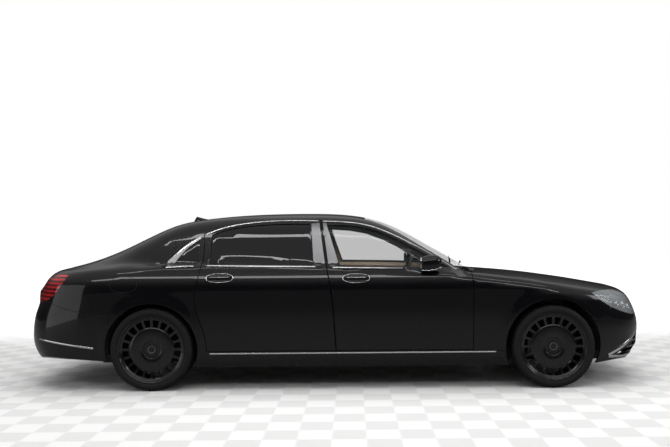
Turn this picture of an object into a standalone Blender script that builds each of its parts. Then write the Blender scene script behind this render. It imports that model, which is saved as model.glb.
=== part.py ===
"""A long-wheelbase luxury sedan, built from separate panels, doors, glass, seats, axles and wheels.

The body skin is one smooth rule in space, and every outer panel is an outline drawn on that skin.
Metres, +Z up, +X to the front of the car, +Y to its left side. The origin is on the ground,
under the middle of the car. Every piece of the left side is mirrored to the right side.
"""

import math

import bmesh
import bpy
import numpy as np
from mathutils import Vector
from mathutils.geometry import delaunay_2d_cdt

for old in list(bpy.data.objects):
    bpy.data.objects.remove(old)

# Driving dimensions of the whole car.
LENGTH = 5.462
WIDTH = 1.899
HEIGHT = 1.497
WHEELBASE = 3.365
FRONT_OVERHANG = 0.913
FRONT_TRACK_SHARE = 0.8552
REAR_TRACK_SHARE = 0.8457
TYRE_SHARE = 0.2305
ARCH_FLARE = 0.007

NOSE_X = LENGTH / 2
TAIL_X = -LENGTH / 2
FRONT_AXLE_X = NOSE_X - FRONT_OVERHANG
REAR_AXLE_X = FRONT_AXLE_X - WHEELBASE
HALF_WIDTH = WIDTH / 2 - ARCH_FLARE
FRONT_TRACK = WIDTH * FRONT_TRACK_SHARE
REAR_TRACK = WIDTH * REAR_TRACK_SHARE

# Gaps and clearances.
SHUT_GAP = 0.007
SEAT_GAP = 0.0003
PANE_GAP = 0.0007
OVERRUN = 0.02


def along(share):
    """The x of a station: 0 is the rear axle, 1 the front axle, 2 the nose and -1 the tail."""
    share = np.asarray(share, float)
    rear_overhang = LENGTH - WHEELBASE - FRONT_OVERHANG
    between = REAR_AXLE_X + share * WHEELBASE
    ahead = FRONT_AXLE_X + (share - 1) * FRONT_OVERHANG
    behind = REAR_AXLE_X + share * rear_overhang
    return np.where(share > 1, ahead, np.where(share < 0, behind, between))


def smooth_curve(points):
    """A natural cubic spline through (place, value) points, straight beyond its ends."""
    place, value = (np.array(row, float) for row in zip(*sorted(points)))
    count, span, rise = len(place), np.diff(place), np.diff(value)
    rows, right = np.eye(count), np.zeros(count)
    for i in range(1, count - 1):
        rows[i, i - 1 : i + 2] = span[i - 1], 2 * (span[i - 1] + span[i]), span[i]
        right[i] = 6 * (rise[i] / span[i] - rise[i - 1] / span[i - 1])
    bend = np.linalg.solve(rows, right)

    def at(x):
        x = np.asarray(x, float)
        inside = np.clip(x, place[0], place[-1])
        i = np.clip(np.searchsorted(place, inside) - 1, 0, count - 2)
        a, b = inside - place[i], place[i + 1] - inside
        h = span[i]
        slope = rise[i] / h + ((3 * a * a - h * h) * bend[i + 1] - (3 * b * b - h * h) * bend[i]) / (6 * h)
        curve = (value[i] * b + value[i + 1] * a) / h
        curve += ((a**3 / h - a * h) * bend[i + 1] + (b**3 / h - b * h) * bend[i]) / 6
        return curve + slope * (x - inside)

    return at


def step_between(x, start, end):
    """0 before start, 1 after end, and a smooth rise between them."""
    t = np.clip((np.asarray(x, float) - start) / (end - start), 0, 1)
    return t * t * (3 - 2 * t)


def least(a, b, radius):
    """The smaller of two depths, with the corner between them rounded to about that radius."""
    near = np.maximum(radius - np.abs(a - b), 0) / radius
    return np.minimum(a, b) - near * near * radius / 4


def most(a, b, radius):
    return -least(-a, -b, radius)


# The skin: where the wheels sit, and how the body closes round them.
TYRE_RADIUS = HEIGHT * TYRE_SHARE
HUB_Z = TYRE_RADIUS
FRONT_ARCH_GAP = 0.058
REAR_ARCH_GAP = 0.041
FRONT_ARCH_RADIUS = TYRE_RADIUS + FRONT_ARCH_GAP
REAR_ARCH_RADIUS = TYRE_RADIUS + REAR_ARCH_GAP
FLARE_WIDTH = 0.055

# Lines of the skin. The first number is a station, the second a share of the height or the half width.
ROOF_LINE_SHARES = (
    (-0.594, 0.691),
    (-0.383, 0.777),
    (-0.171, 0.858),
    (0.014, 0.930),
    (0.103, 0.970),
    (0.222, 0.993),
    (0.388, 1.0),
    (0.497, 0.988),
    (0.608, 0.925),
    (0.697, 0.819),
    (0.787, 0.703),
    (0.846, 0.625),
)
DECK_LINE_SHARES = (
    (-0.95, 0.640),
    (-0.805, 0.668),
    (-0.594, 0.690),
    (-0.383, 0.702),
    (-0.045, 0.700),
    (0.103, 0.695),
    (0.46, 0.677),
    (0.757, 0.659),
    (0.868, 0.645),
    (0.953, 0.630),
    (1.177, 0.603),
    (1.44, 0.578),
    (1.714, 0.548),
    (1.857, 0.528),
    (1.966, 0.500),
)
DECK_CROWN_SHARES = ((-0.8, 0.028), (-0.383, 0.022), (0.0, 0.0), (0.7, 0.0), (0.868, 0.022), (1.177, 0.05), (1.857, 0.06))
SIDE_INSET_SHARES = (
    (0.08, 0.12),
    (0.13, 0.062),
    (0.2, 0.030),
    (0.28, 0.014),
    (0.36, 0.004),
    (0.44, 0.0),
    (0.54, 0.001),
    (0.60, 0.006),
    (0.64, 0.022),
    (0.68, 0.047),
    (0.72, 0.085),
)
CABIN_PLAN_SHARES = (
    (-0.594, 0.74),
    (-0.383, 0.80),
    (-0.171, 0.88),
    (0.0, 0.93),
    (0.103, 0.957),
    (0.4, 1.0),
    (0.6, 0.995),
    (0.757, 0.965),
    (0.846, 0.94),
)
NOSE_LINE_SHARES = ((0.12, -0.11), (0.16, -0.06), (0.2, -0.012), (0.25, -0.004), (0.33, 0.0), (0.41, -0.035), (0.48, -0.09), (0.55, -0.15))
TAIL_LINE_SHARES = ((0.14, 0.09), (0.18, 0.04), (0.24, 0.004), (0.33, 0.0), (0.42, 0.022), (0.5, 0.066), (0.6, 0.115), (0.68, 0.165))
CABIN_WIDTH_SHARE = 0.911
CABIN_LEAN_SHARE = 0.40
CABIN_BEND = 0.30
CABIN_FOOT_SHARE = 0.681
NOSE_START_SHARE = 0.906
TAIL_START_SHARE = -0.045
NOSE_POWER = 3.4
TAIL_POWER = 5.0
PLAN_POWER = 3.0
WINDSCREEN_BOW = 0.20
REAR_WINDOW_BOW = 0.25
ROOF_CROWN = 0.10
DECK_ROUND = 0.085
BELT_ROUND = 0.045
CANT_ROUND = 0.10
PILLAR_ROOT_ROUND = 0.006
REAR_ROOT_ROUND = 0.16
CABIN_FLOOR_SHARE = 0.56


def heights(shares):
    return smooth_curve([(along(place), share * HEIGHT) for place, share in shares])


roof_line = heights(ROOF_LINE_SHARES)
deck_line = heights(DECK_LINE_SHARES)
deck_crown = smooth_curve([(along(place), share * HALF_WIDTH) for place, share in DECK_CROWN_SHARES])
side_inset = smooth_curve([(share * HEIGHT, inset * HALF_WIDTH) for share, inset in SIDE_INSET_SHARES])
cabin_plan = smooth_curve([(along(place), share) for place, share in CABIN_PLAN_SHARES])
nose_line = smooth_curve([(share * HEIGHT, NOSE_X + shift * FRONT_OVERHANG) for share, shift in NOSE_LINE_SHARES])
tail_line = smooth_curve([(share * HEIGHT, TAIL_X + shift * HALF_WIDTH * 1.2) for share, shift in TAIL_LINE_SHARES])


def flare(x, z):
    """How far the skin swells outwards round the two wheel arches."""
    total = 0
    for axle, radius in ((FRONT_AXLE_X, FRONT_ARCH_RADIUS), (REAR_AXLE_X, REAR_ARCH_RADIUS)):
        away = np.hypot(x - axle, z - HUB_Z) - radius
        total = total + np.exp(-((away / FLARE_WIDTH) ** 2))
    return ARCH_FLARE * total


def depth(point):
    """How deep a point lies under the skin, in metres near it. Above zero is inside the car."""
    x, y, z = point[..., 0], np.abs(point[..., 1]), point[..., 2]
    half = HALF_WIDTH - side_inset(z) + flare(x, z)
    nose, tail = nose_line(z), tail_line(z)
    nose_start, tail_start = along(NOSE_START_SHARE), along(TAIL_START_SHARE)
    ahead = np.maximum(x - nose_start, 0) / (nose - nose_start)
    behind = np.maximum(tail_start - x, 0) / (tail_start - tail)
    across = y / half
    value = 1 - across**PLAN_POWER - ahead**NOSE_POWER - behind**TAIL_POWER
    slope_y = PLAN_POWER * across ** (PLAN_POWER - 1) / half
    slope_x = NOSE_POWER * ahead ** (NOSE_POWER - 1) / (nose - nose_start)
    slope_x = slope_x + TAIL_POWER * behind ** (TAIL_POWER - 1) / (tail_start - tail)
    side = value / np.maximum(np.hypot(slope_x, slope_y), 0.2 / half)
    crown = deck_crown(x) * (y / HALF_WIDTH) ** 2 * 1.4
    top = deck_line(x) - crown - z
    over_cabin = step_between(x, along(0.72), along(0.9)) + 1 - step_between(x, along(-0.3), along(0.05))
    low = least(side, top, BELT_ROUND + (DECK_ROUND - BELT_ROUND) * np.clip(over_cabin, 0, 1))
    foot = CABIN_FOOT_SHARE * HEIGHT
    above = np.maximum(z - foot, 0)
    wall = HALF_WIDTH * CABIN_WIDTH_SHARE * cabin_plan(x) - CABIN_LEAN_SHARE * above - CABIN_BEND * above**2 / HEIGHT * 1.5
    front = step_between(x, along(0.45), along(0.62))
    back = 1 - step_between(x, along(0.1), along(0.3))
    bowed = x + (WINDSCREEN_BOW * front - REAR_WINDOW_BOW * back) * y**2 / HALF_WIDTH
    lid = roof_line(bowed) - ROOF_CROWN * y**2 / HALF_WIDTH * (1 - front * 0.6 - back * 0.5) - z
    cabin = least(wall - y, lid, CANT_ROUND)
    root = PILLAR_ROOT_ROUND + (REAR_ROOT_ROUND - PILLAR_ROOT_ROUND) * (1 - step_between(x, along(-0.25), along(0.03)))
    cabin = np.minimum(cabin, z - CABIN_FLOOR_SHARE * HEIGHT)
    return most(low, cabin, root)


# Drawing on the skin.
EDGE_STEP = 0.085
PROBE = 0.001
MARCH_STEPS = 160
MARCH_SHARE = 0.6


def cast(start, heading):
    """The first skin point that each ray meets."""
    travelled = np.zeros(len(start))
    for _ in range(MARCH_STEPS):
        travelled = travelled - MARCH_SHARE * depth(start + heading * travelled[:, None])
    return start + heading * travelled[:, None]


def skin_normal(points):
    slopes = [depth(points + PROBE * axis) - depth(points - PROBE * axis) for axis in np.eye(3)]
    outward = -np.stack(slopes, axis=-1)
    return outward / np.linalg.norm(outward, axis=-1, keepdims=True)


def on_skin(view, a, b):
    """Skin points seen straight from the left side, the top, the nose or the tail."""
    zero = np.zeros(len(a))
    if view == "side":
        return cast(np.stack([a, zero + WIDTH, b], -1), np.array([0.0, -1.0, 0.0]))
    if view == "top":
        return cast(np.stack([a, b, zero + HEIGHT * 1.2], -1), np.array([0.0, 0.0, -1.0]))
    if view == "nose":
        return cast(np.stack([zero + LENGTH * 0.6, a, b], -1), np.array([-1.0, 0.0, 0.0]))
    return cast(np.stack([zero - LENGTH * 0.6, a, b], -1), np.array([1.0, 0.0, 0.0]))


def drawn(view, shares, step=EDGE_STEP):
    """A smooth line on the skin through the points of a table, at about one point each step."""
    a, b = (np.array(row, float) for row in zip(*shares))
    a = a * HALF_WIDTH if view in ("nose", "tail") else along(a)
    b = b * (HALF_WIDTH if view == "top" else HEIGHT)
    run = np.concatenate([[0], np.cumsum(np.hypot(np.diff(a), np.diff(b)))])
    count = max(math.ceil(run[-1] / step), 1)
    at = np.linspace(0, run[-1], count + 1)
    if len(a) > 2:
        return on_skin(view, smooth_curve(list(zip(run, a)))(at), smooth_curve(list(zip(run, b)))(at))
    return on_skin(view, np.interp(at, run, a), np.interp(at, run, b))


def behind(radius, z):
    """The angle where a wheel arch reaches a height behind its wheel."""
    return math.pi - math.asin((z - HUB_Z) / radius)


def before(radius, z):
    return math.asin((z - HUB_Z) / radius)


def arch_line(axle_x, radius, start, end, step=EDGE_STEP):
    """A wheel arch's edge on the skin between two angles."""
    count = math.ceil(abs(start - end) * radius / step)
    angle = np.linspace(start, end, count + 1)
    return on_skin("side", axle_x + radius * np.cos(angle), HUB_Z + radius * np.sin(angle))


def chain(*lines):
    """One line from several. A point that two of them share is kept once."""
    points = [lines[0][0]]
    for point in np.concatenate(lines)[1:]:
        if np.linalg.norm(point - points[-1]) > 2 * PROBE:
            points.append(point)
    return np.array(points)


def joined(*lines):
    """One closed loop from lines that each start where the last one ends."""
    loop = chain(*lines)
    return loop[:-1] if np.linalg.norm(loop[-1] - loop[0]) < 2 * PROBE else loop


def across(line):
    """The same line on the right side, run the other way."""
    return (line * (1, -1, 1))[::-1]


def turned_left(loop):
    """+1 where a loop runs counterclockwise seen from outside, else -1."""
    middle = loop.mean(axis=0)
    area = np.cross(loop - middle, np.roll(loop, -1, axis=0) - middle).sum(axis=0)
    return 1 if area @ skin_normal(loop).mean(axis=0) > 0 else -1


def inset(loop, gap):
    """The loop moved along the skin towards its own inside, with its corners kept sharp."""
    normal = skin_normal(loop)
    ahead = np.roll(loop, -1, axis=0) - loop
    ahead /= np.linalg.norm(ahead, axis=1, keepdims=True)
    side = np.cross(normal, ahead) * turned_left(loop)
    last_side = np.cross(normal, np.roll(ahead, 1, axis=0)) * turned_left(loop)
    corner = side + last_side
    corner /= np.maximum((corner * side).sum(axis=1, keepdims=True), 0.5)
    return loop + gap * corner


class Chart:
    """A flat map of one part of the skin: along, up or round an axis. Its lengths are about true."""

    def __init__(self, kind, centre=(0, 0), facing=0, reach=1.0):
        self.kind, self.centre, self.facing, self.reach = kind, centre, facing, reach

    def split(self, points):
        x, y, z = points.T
        if self.kind == "round x":
            return x, y - self.centre[0], z - self.centre[1]
        if self.kind == "round z":
            return z, x - self.centre[0], y - self.centre[1]
        return y, x - self.centre[0], z - self.centre[1]

    def flat(self, points):
        if self.kind == "side":
            return points[:, [0, 2]]
        if self.kind == "top":
            return points[:, [0, 1]]
        run, a, b = self.split(points)
        c, s = math.cos(self.facing), math.sin(self.facing)
        return np.stack([run, np.arctan2(b * c - a * s, a * c + b * s) * self.reach], -1)

    def lifted(self, flat):
        """The skin points over a flat map's points."""
        if self.kind in ("side", "top"):
            return on_skin(self.kind, flat[:, 0], flat[:, 1])
        run, angle = flat[:, 0], flat[:, 1] / self.reach + self.facing
        a, b, zero = np.cos(angle), np.sin(angle), np.zeros(len(flat))
        if self.kind == "round x":
            centre = np.stack([run, zero + self.centre[0], zero + self.centre[1]], -1)
            heading = np.stack([zero, a, b], -1)
        elif self.kind == "round z":
            centre = np.stack([zero + self.centre[0], zero + self.centre[1], run], -1)
            heading = np.stack([a, b, zero], -1)
        else:
            centre = np.stack([zero + self.centre[0], run, zero + self.centre[1]], -1)
            heading = np.stack([a, zero, b], -1)
        return cast(centre + heading * WIDTH, -heading)


def inside(points, loop):
    x, y = points[:, :1], points[:, 1:]
    x1, y1 = loop.T
    x2, y2 = np.roll(loop, -1, axis=0).T
    level = (y1 > y) != (y2 > y)
    with np.errstate(divide="ignore", invalid="ignore"):
        cross = x1 + (y - y1) / (y2 - y1) * (x2 - x1)
    return (level & (x < cross)).sum(axis=1) % 2 == 1


def distance_to(points, loop):
    start, end = loop, np.roll(loop, -1, axis=0)
    run = end - start
    share = ((points[:, None] - start) * run).sum(-1) / np.maximum((run * run).sum(-1), PROBE**3)
    near = start + np.clip(share, 0, 1)[..., None] * run
    return np.linalg.norm(points[:, None] - near, axis=-1).min(axis=1)


def tiled(loop, holes, spacing):
    """Triangles over a flat loop with holes, with a grid of points inside at the given spacing."""
    low, high = loop.min(axis=0), loop.max(axis=0)
    counts = [max(round((high[i] - low[i]) / spacing[i]), 1) for i in (0, 1)]
    rows = [np.linspace(low[i], high[i], counts[i] + 1)[1:-1] for i in (0, 1)]
    grid = np.stack(np.meshgrid(*rows), -1).reshape(-1, 2)
    keep = inside(grid, loop) & (distance_to(grid, loop) > 0.4 * min(spacing))
    for hole in holes:
        keep &= ~inside(grid, hole) & (distance_to(grid, hole) > 0.4 * min(spacing))
    points, edges = [grid[keep]], []
    first = int(keep.sum())
    for ring in (loop, *holes):
        points.append(ring)
        edges += [(first + i, first + (i + 1) % len(ring)) for i in range(len(ring))]
        first += len(ring)
    found = delaunay_2d_cdt([Vector(p) for p in np.concatenate(points)], edges, [], 0, PROBE**2)
    places = np.array([tuple(p) for p in found[0]])
    faces = np.array([face for face in found[2] if len(face) == 3])
    middle = places[faces].mean(axis=1)
    keep = inside(middle, loop)
    for hole in holes:
        keep &= ~inside(middle, hole)
    faces = faces[keep]
    used = np.unique(faces)
    order = np.full(len(places), -1)
    order[used] = np.arange(len(used))
    return places[used], order[faces]


def rim_edges(faces):
    """The directed edges that only one face has."""
    ends = np.concatenate([faces[:, [0, 1]], faces[:, [1, 2]], faces[:, [2, 0]]])
    held = {(a, b) for a, b in ends.tolist()}
    return np.array([(a, b) for a, b in ends.tolist() if (b, a) not in held])


def shell(outer, inner, faces):
    """A closed solid between two matching surfaces. The outer one's faces look outwards."""
    rim, count = rim_edges(faces), len(outer)
    sides = [(b, a, a + count, b + count) for a, b in rim.tolist()]
    return np.concatenate([outer, inner]), faces.tolist() + (faces[:, ::-1] + count).tolist() + sides


def faced(loop):
    """The one direction that a window's loop faces: its hole and its pane both go straight in along it."""
    mean = skin_normal(loop).mean(axis=0)
    return mean / np.linalg.norm(mean)


def plate(chart, loop, thickness, spacing, holes=(), sink=0.0, draft=0.0, floor_y=None, straight=False, cap_y=None):
    """A panel of the skin, as (points, faces): its outline and holes are loops on the skin.

    sink sets it under the skin. draft draws the inner face's outline in. floor_y is the y of a
    flat inner face, used wherever it is deeper than the thickness. straight sinks it all one way.
    cap_y is the furthest out that its outer face may lie.
    """
    flat, faces = tiled(chart.flat(loop), [chart.flat(hole) for hole in holes], spacing)
    outer = chart.lifted(flat)
    normal = skin_normal(outer)
    corners = outer[faces]
    facing = np.cross(corners[:, 1] - corners[:, 0], corners[:, 2] - corners[:, 0])
    if (facing * normal[faces].mean(axis=1)).sum() < 0:
        faces = faces[:, ::-1]
    if straight:
        normal = np.zeros_like(normal) + faced(loop)
    under, under_normal = outer, normal
    if draft:
        rim = rim_edges(faces)
        edge = chart.flat(loop)
        outer_rim = distance_to(flat, edge) < PROBE
        pull = np.zeros_like(flat)
        sign = 1 if np.cross(flat[faces[0, 1]] - flat[faces[0, 0]], flat[faces[0, 2]] - flat[faces[0, 0]]) > 0 else -1
        for a, b in rim.tolist():
            run = flat[b] - flat[a]
            side = np.array([-run[1], run[0]]) * sign / np.linalg.norm(run)
            pull[a] += side
            pull[b] += side
        corner = (pull * pull).sum(axis=1, keepdims=True) / 2
        pull = pull / np.maximum(corner, 0.4) * outer_rim[:, None]
        under = chart.lifted(flat + draft * pull)
        under_normal = skin_normal(under)
    inner = under - under_normal * (thickness + sink)
    if floor_y is not None:
        inner[:, 1] = np.minimum(floor_y, inner[:, 1])
    for hole in holes:
        window_rim = distance_to(flat, chart.flat(hole)) < PROBE
        inner[window_rim] = outer[window_rim] - faced(hole) * thickness
    outer = outer - normal * sink
    if cap_y is not None:
        outer[:, 1] = np.minimum(outer[:, 1], cap_y)
        inner[:, 1] = np.minimum(inner[:, 1], cap_y - thickness)
    return shell(outer, inner, faces)


# Solids that are not part of the skin.
def box(low, high):
    x1, y1, z1 = low
    x2, y2, z2 = high
    points = [(x, y, z) for x in (x1, x2) for y in (y1, y2) for z in (z1, z2)]
    faces = [(0, 1, 3, 2), (4, 6, 7, 5), (0, 4, 5, 1), (2, 3, 7, 6), (0, 2, 6, 4), (1, 5, 7, 3)]
    return np.array(points, float), faces


def extruded(outline, low, high, axis="y"):
    """A flat outline carried from low to high along y, or along x or z."""
    a, b = np.array(outline, float).T
    if (a * np.roll(b, -1) - b * np.roll(a, -1)).sum() < 0:
        a, b = a[::-1], b[::-1]
    count = len(a)
    ends = [np.full(count, low), np.full(count, high)]
    order = {"x": lambda h: (h, a, b), "y": lambda h: (b, h, a), "z": lambda h: (a, b, h)}[axis]
    points = np.concatenate([np.stack(order(end), -1) for end in ends])
    faces = [tuple(range(count))[::-1], tuple(range(count, 2 * count))]
    faces += [(i, (i + 1) % count, (i + 1) % count + count, i + count) for i in range(count)]
    return points, faces


def profile_xz(outline, low_y, high_y):
    return extruded([(z, x) for x, z in outline], low_y, high_y, "y")


def turned(profile, sides, centre, axis="y"):
    """A closed profile of (radius, place along the axis) turned round it. It may start and end on the axis."""
    points, rings = [], []
    for radius, place in profile:
        if radius == 0:
            rings.append([len(points)] * sides)
            points.append((0, 0, place))
            continue
        rings.append(list(range(len(points), len(points) + sides)))
        for k in range(sides):
            angle = math.tau * k / sides
            points.append((radius * math.cos(angle), radius * math.sin(angle), place))
    faces = []
    closing = 0 if profile[0][0] == 0 else 1
    for i in range(len(rings) - 1 + closing):
        one, two = rings[i], rings[(i + 1) % len(rings)]
        for k in range(sides):
            face = [one[k], one[(k + 1) % sides], two[(k + 1) % sides], two[k]]
            face = tuple(dict.fromkeys(face))
            if len(face) > 2:
                faces.append(face)
    points = np.array(points, float)
    swap = {"x": [2, 0, 1], "y": [1, 2, 0], "z": [0, 1, 2]}[axis]
    return facing_out(points[:, swap] + np.array(centre, float), faces)


def facing_out(points, faces):
    total = 0.0
    for face in faces:
        for i in range(1, len(face) - 1):
            total += np.dot(points[face[0]], np.cross(points[face[i]], points[face[i + 1]]))
    return points, [tuple(face) if total > 0 else tuple(face)[::-1] for face in faces]


def swept(path, section):
    """A section of (side, up) points carried along a path in an upright plane or a level one."""
    path = np.array(path, float)
    lengthwise = np.ptp(path[:, 1]) < PROBE
    points = []
    for i, place in enumerate(path):
        ahead = path[min(i + 1, len(path) - 1)] - path[max(i - 1, 0)]
        ahead /= np.linalg.norm(ahead)
        up = np.array([0.0, 0.0, 1.0]) if abs(ahead[2]) < 0.95 else np.array([1.0, 0.0, 0.0])
        side = np.array([0.0, 1.0, 0.0]) if lengthwise else np.cross(ahead, up)
        side /= np.linalg.norm(side)
        rise = np.cross(side, ahead)
        points += [place + side * a + rise * b for a, b in section]
    count = len(section)
    faces = [tuple(range(count)), tuple(range(len(points) - count, len(points)))[::-1]]
    for i in range(len(path) - 1):
        for k in range(count):
            a, b = i * count + k, i * count + (k + 1) % count
            faces.append((b, a, a + count, b + count))
    return facing_out(np.array(points), faces)


def round_section(radius, sides=8):
    return [(radius * math.cos(math.tau * k / sides), radius * math.sin(math.tau * k / sides)) for k in range(sides)]


def flat_section(wide, high):
    return [(-wide / 2, -high / 2), (wide / 2, -high / 2), (wide / 2, high / 2), (-wide / 2, high / 2)]


def rod(start, end, radius, sides=10):
    return swept([start, end], round_section(radius, sides))


def mesh_of(solid, name="work"):
    points, faces = solid
    mesh = bpy.data.meshes.new(name)
    mesh.from_pydata([tuple(p) for p in points], [], [tuple(f) for f in faces])
    mesh.update()
    return mesh


def pulled_round(low, high, radius, segments=2):
    """A cushion: a box with all its edges rounded."""
    form = bmesh.new()
    form.from_mesh(mesh_of(box(low, high)))
    bmesh.ops.bevel(
        form,
        geom=list(form.edges) + list(form.verts),
        offset=radius,
        segments=segments,
        profile=0.5,
        affect="EDGES",
        clamp_overlap=True,
    )
    form.verts.index_update()
    points = np.array([tuple(v.co) for v in form.verts])
    faces = [tuple(v.index for v in f.verts) for f in form.faces]
    form.free()
    return points, faces


def combined(base, others, operation="UNION"):
    """The base joined with the others, or cut by them."""
    work = bpy.data.objects.new("base", mesh_of(base))
    bpy.context.collection.objects.link(work)
    helpers = []
    for other in others:
        helper = bpy.data.objects.new("helper", mesh_of(other))
        bpy.context.collection.objects.link(helper)
        helpers.append(helper)
        modifier = work.modifiers.new("join", "BOOLEAN")
        modifier.operation = operation
        modifier.solver = "EXACT"
        modifier.object = helper
    graph = bpy.context.evaluated_depsgraph_get()
    mesh = work.evaluated_get(graph).to_mesh()
    points = np.array([tuple(v.co) for v in mesh.vertices], float)
    faces = [tuple(polygon.vertices) for polygon in mesh.polygons]
    for helper in [work, *helpers]:
        bpy.data.objects.remove(helper)
    return points, faces


def moved(solid, shift=(0, 0, 0), scale=(1, 1, 1)):
    points, faces = solid
    flip = np.prod(scale) < 0
    points = points * np.array(scale, float) + np.array(shift, float)
    return points, [tuple(face)[::-1] for face in faces] if flip else faces


def mirrored(solid):
    return moved(solid, scale=(1, -1, 1))


def put(name, solid, colour, roughness=0.4, metallic=0.0, origin=(0, 0, 0), smooth=True):
    """Puts a solid in the scene as one node, with its origin on its joint's axis."""
    points, faces = solid
    mesh = mesh_of((points - np.array(origin, float), faces), name)
    node = bpy.data.objects.new(name, mesh)
    node.location = origin
    bpy.context.collection.objects.link(node)
    material = bpy.data.materials.new(name)
    material.use_nodes = True
    shader = material.node_tree.nodes["Principled BSDF"]
    shader.inputs["Base Color"].default_value = (*colour, 1)
    shader.inputs["Roughness"].default_value = roughness
    shader.inputs["Metallic"].default_value = metallic
    material.diffuse_color = (*colour, 1)
    mesh.materials.append(material)
    if smooth:
        mesh.shade_smooth()
        mesh.set_sharp_from_angle(angle=math.radians(35))
    return node


def put_pair(name, solid, colour, roughness=0.4, metallic=0.0, origin=(0, 0, 0)):
    """A left piece and its mirror on the right side."""
    put(name + "_left", solid, colour, roughness, metallic, origin)
    other = (origin[0], -origin[1], origin[2])
    put(name + "_right", mirrored(solid), colour, roughness, metallic, other)


PAINT = (0.012, 0.012, 0.014)
TRIM = (0.03, 0.03, 0.032)
GLASS = (0.05, 0.06, 0.07)
LEATHER = (0.55, 0.44, 0.33)
STEEL = (0.45, 0.45, 0.46)
RUBBER = (0.02, 0.02, 0.02)
RED = (0.5, 0.02, 0.03)
LAMP = (0.75, 0.78, 0.8)

# Lines on the side: a station along the car and a share of its height.
DOOR_FRONT_SHARES = ((0.801, 0.217), (0.801, 0.401), (0.802, 0.534), (0.801, 0.601), (0.799, 0.641))
DOOR_SPLIT_SHARES = ((0.459, 0.217), (0.454, 0.401), (0.446, 0.568), (0.438, 0.668), (0.42, 0.951))
DOOR_REAR_SHARES = (
    (0.137, 0.217),
    (0.133, 0.301),
    (0.118, 0.401),
    (0.109, 0.501),
    (0.114, 0.601),
    (0.122, 0.688),
    (0.12, 0.876),
)
REAR_DOOR_TOP_SHARES = ((0.12, 0.876), (0.157, 0.908), (0.241, 0.944), (0.347, 0.955), (0.42, 0.951))
FRONT_DOOR_TOP_SHARES = (
    (0.42, 0.951),
    (0.497, 0.941),
    (0.55, 0.919),
    (0.602, 0.873),
    (0.642, 0.828),
    (0.681, 0.78),
    (0.732, 0.711),
    (0.766, 0.663),
    (0.799, 0.641),
)
REAR_DOOR_FOOT_SHARES = ((0.459, 0.217), (0.137, 0.217))
FRONT_DOOR_FOOT_SHARES = ((0.801, 0.217), (0.459, 0.217))
FRONT_WINDOW_TOP_SHARES = (
    (0.435, 0.921),
    (0.497, 0.918),
    (0.55, 0.897),
    (0.602, 0.852),
    (0.642, 0.808),
    (0.681, 0.76),
    (0.744, 0.676),
)
FRONT_WINDOW_SILL_SHARES = ((0.744, 0.676), (0.608, 0.684), (0.47, 0.69))
FRONT_WINDOW_POST_SHARES = ((0.47, 0.69), (0.435, 0.921))
REAR_WINDOW_TOP_SHARES = ((0.141, 0.87), (0.157, 0.884), (0.241, 0.921), (0.347, 0.931), (0.392, 0.929))
REAR_WINDOW_SILL_SHARES = ((0.402, 0.695), (0.281, 0.701), (0.141, 0.707))
REAR_WINDOW_POST_SHARES = ((0.392, 0.929), (0.402, 0.695))
REAR_WINDOW_BAR_SHARES = ((0.141, 0.707), (0.141, 0.87))
QUARTER_WINDOW_SHARES = ((0.111, 0.714), (0.111, 0.843), (0.091, 0.814), (0.064, 0.765), (0.046, 0.724), (0.05, 0.714))
SILL_FOOT_SHARE = 0.127
SILL_TOP_SHARE = 0.208
FENDER_FOOT_SHARES = ((0.801, 0.212), (0.885, 0.212))
FENDER_SPLIT_SHARES = ((1.553, 0.446), (1.495, 0.401), (1.386, 0.364))
QUARTER_SPLIT_SHARES = ((-0.77, 0.503), (-0.636, 0.468), (-0.467, 0.438), (-0.277, 0.418))
LAMP_TIP_SHARES = ((1.365, 0.529), (1.465, 0.537), (1.528, 0.537))
LAMP_TOP_SHARES = ((1.528, 0.537), (1.587, 0.536), (1.72, 0.52), (1.796, 0.499))
LAMP_REAR_SHARES = ((1.365, 0.529), (1.394, 0.511), (1.473, 0.476), (1.553, 0.446))
LAMP_FOOT_SHARES = ((1.553, 0.446), (1.641, 0.424), (1.755, 0.401), (1.82, 0.391))
TAIL_LAMP_FRONT_SHARES = ((-0.598, 0.649), (-0.636, 0.601), (-0.687, 0.55), (-0.77, 0.503))
# Lines from above: a station and a share of the half width.
SCREEN_SIDE_SHARES = ((0.797, 0.753), (0.727, 0.708), (0.638, 0.651), (0.579, 0.613), (0.524, 0.574))
ROOF_SIDE_SHARES = ((0.524, 0.574), (0.371, 0.577), (0.222, 0.574), (0.056, 0.558))
BACK_SIDE_SHARES = ((0.056, 0.558), (-0.045, 0.585), (-0.256, 0.621), (-0.433, 0.658))
SCREEN_TOP_SHARES = ((0.524, 0.574), (0.534, 0.316), (0.538, 0.0))
SCREEN_FOOT_SHARES = ((0.797, 0.753), (0.813, 0.474), (0.821, 0.211), (0.822, 0.0))
BACK_TOP_SHARES = ((0.056, 0.558), (0.045, 0.316), (0.041, 0.0))
BACK_FOOT_SHARES = ((-0.433, 0.658), (-0.459, 0.421), (-0.467, 0.211), (-0.47, 0.0))
BONNET_REAR_SHARES = ((0.804, 0.792), (0.816, 0.632), (0.833, 0.421), (0.84, 0.211), (0.842, 0.0))
BONNET_SIDE_SHARES = ((0.804, 0.792), (0.876, 0.806), (0.965, 0.809), (1.199, 0.806), (1.375, 0.798), (1.528, 0.786))
DECK_FRONT_SHARES = ((-0.48, 0.674), (-0.488, 0.316), (-0.492, 0.0))
DECK_SIDE_SHARES = ((-0.48, 0.674), (-0.552, 0.716), (-0.678, 0.732), (-0.788, 0.727))
COWL_END_SHARES = ((0.804, 0.792), (0.797, 0.753))
PILLAR_FOOT_SHARES = ((0.799, 0.947), (0.802, 0.86), (0.804, 0.792))
TAIL_LAMP_TOP_SHARES = ((-0.598, 0.910), (-0.695, 0.832), (-0.788, 0.727))
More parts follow.
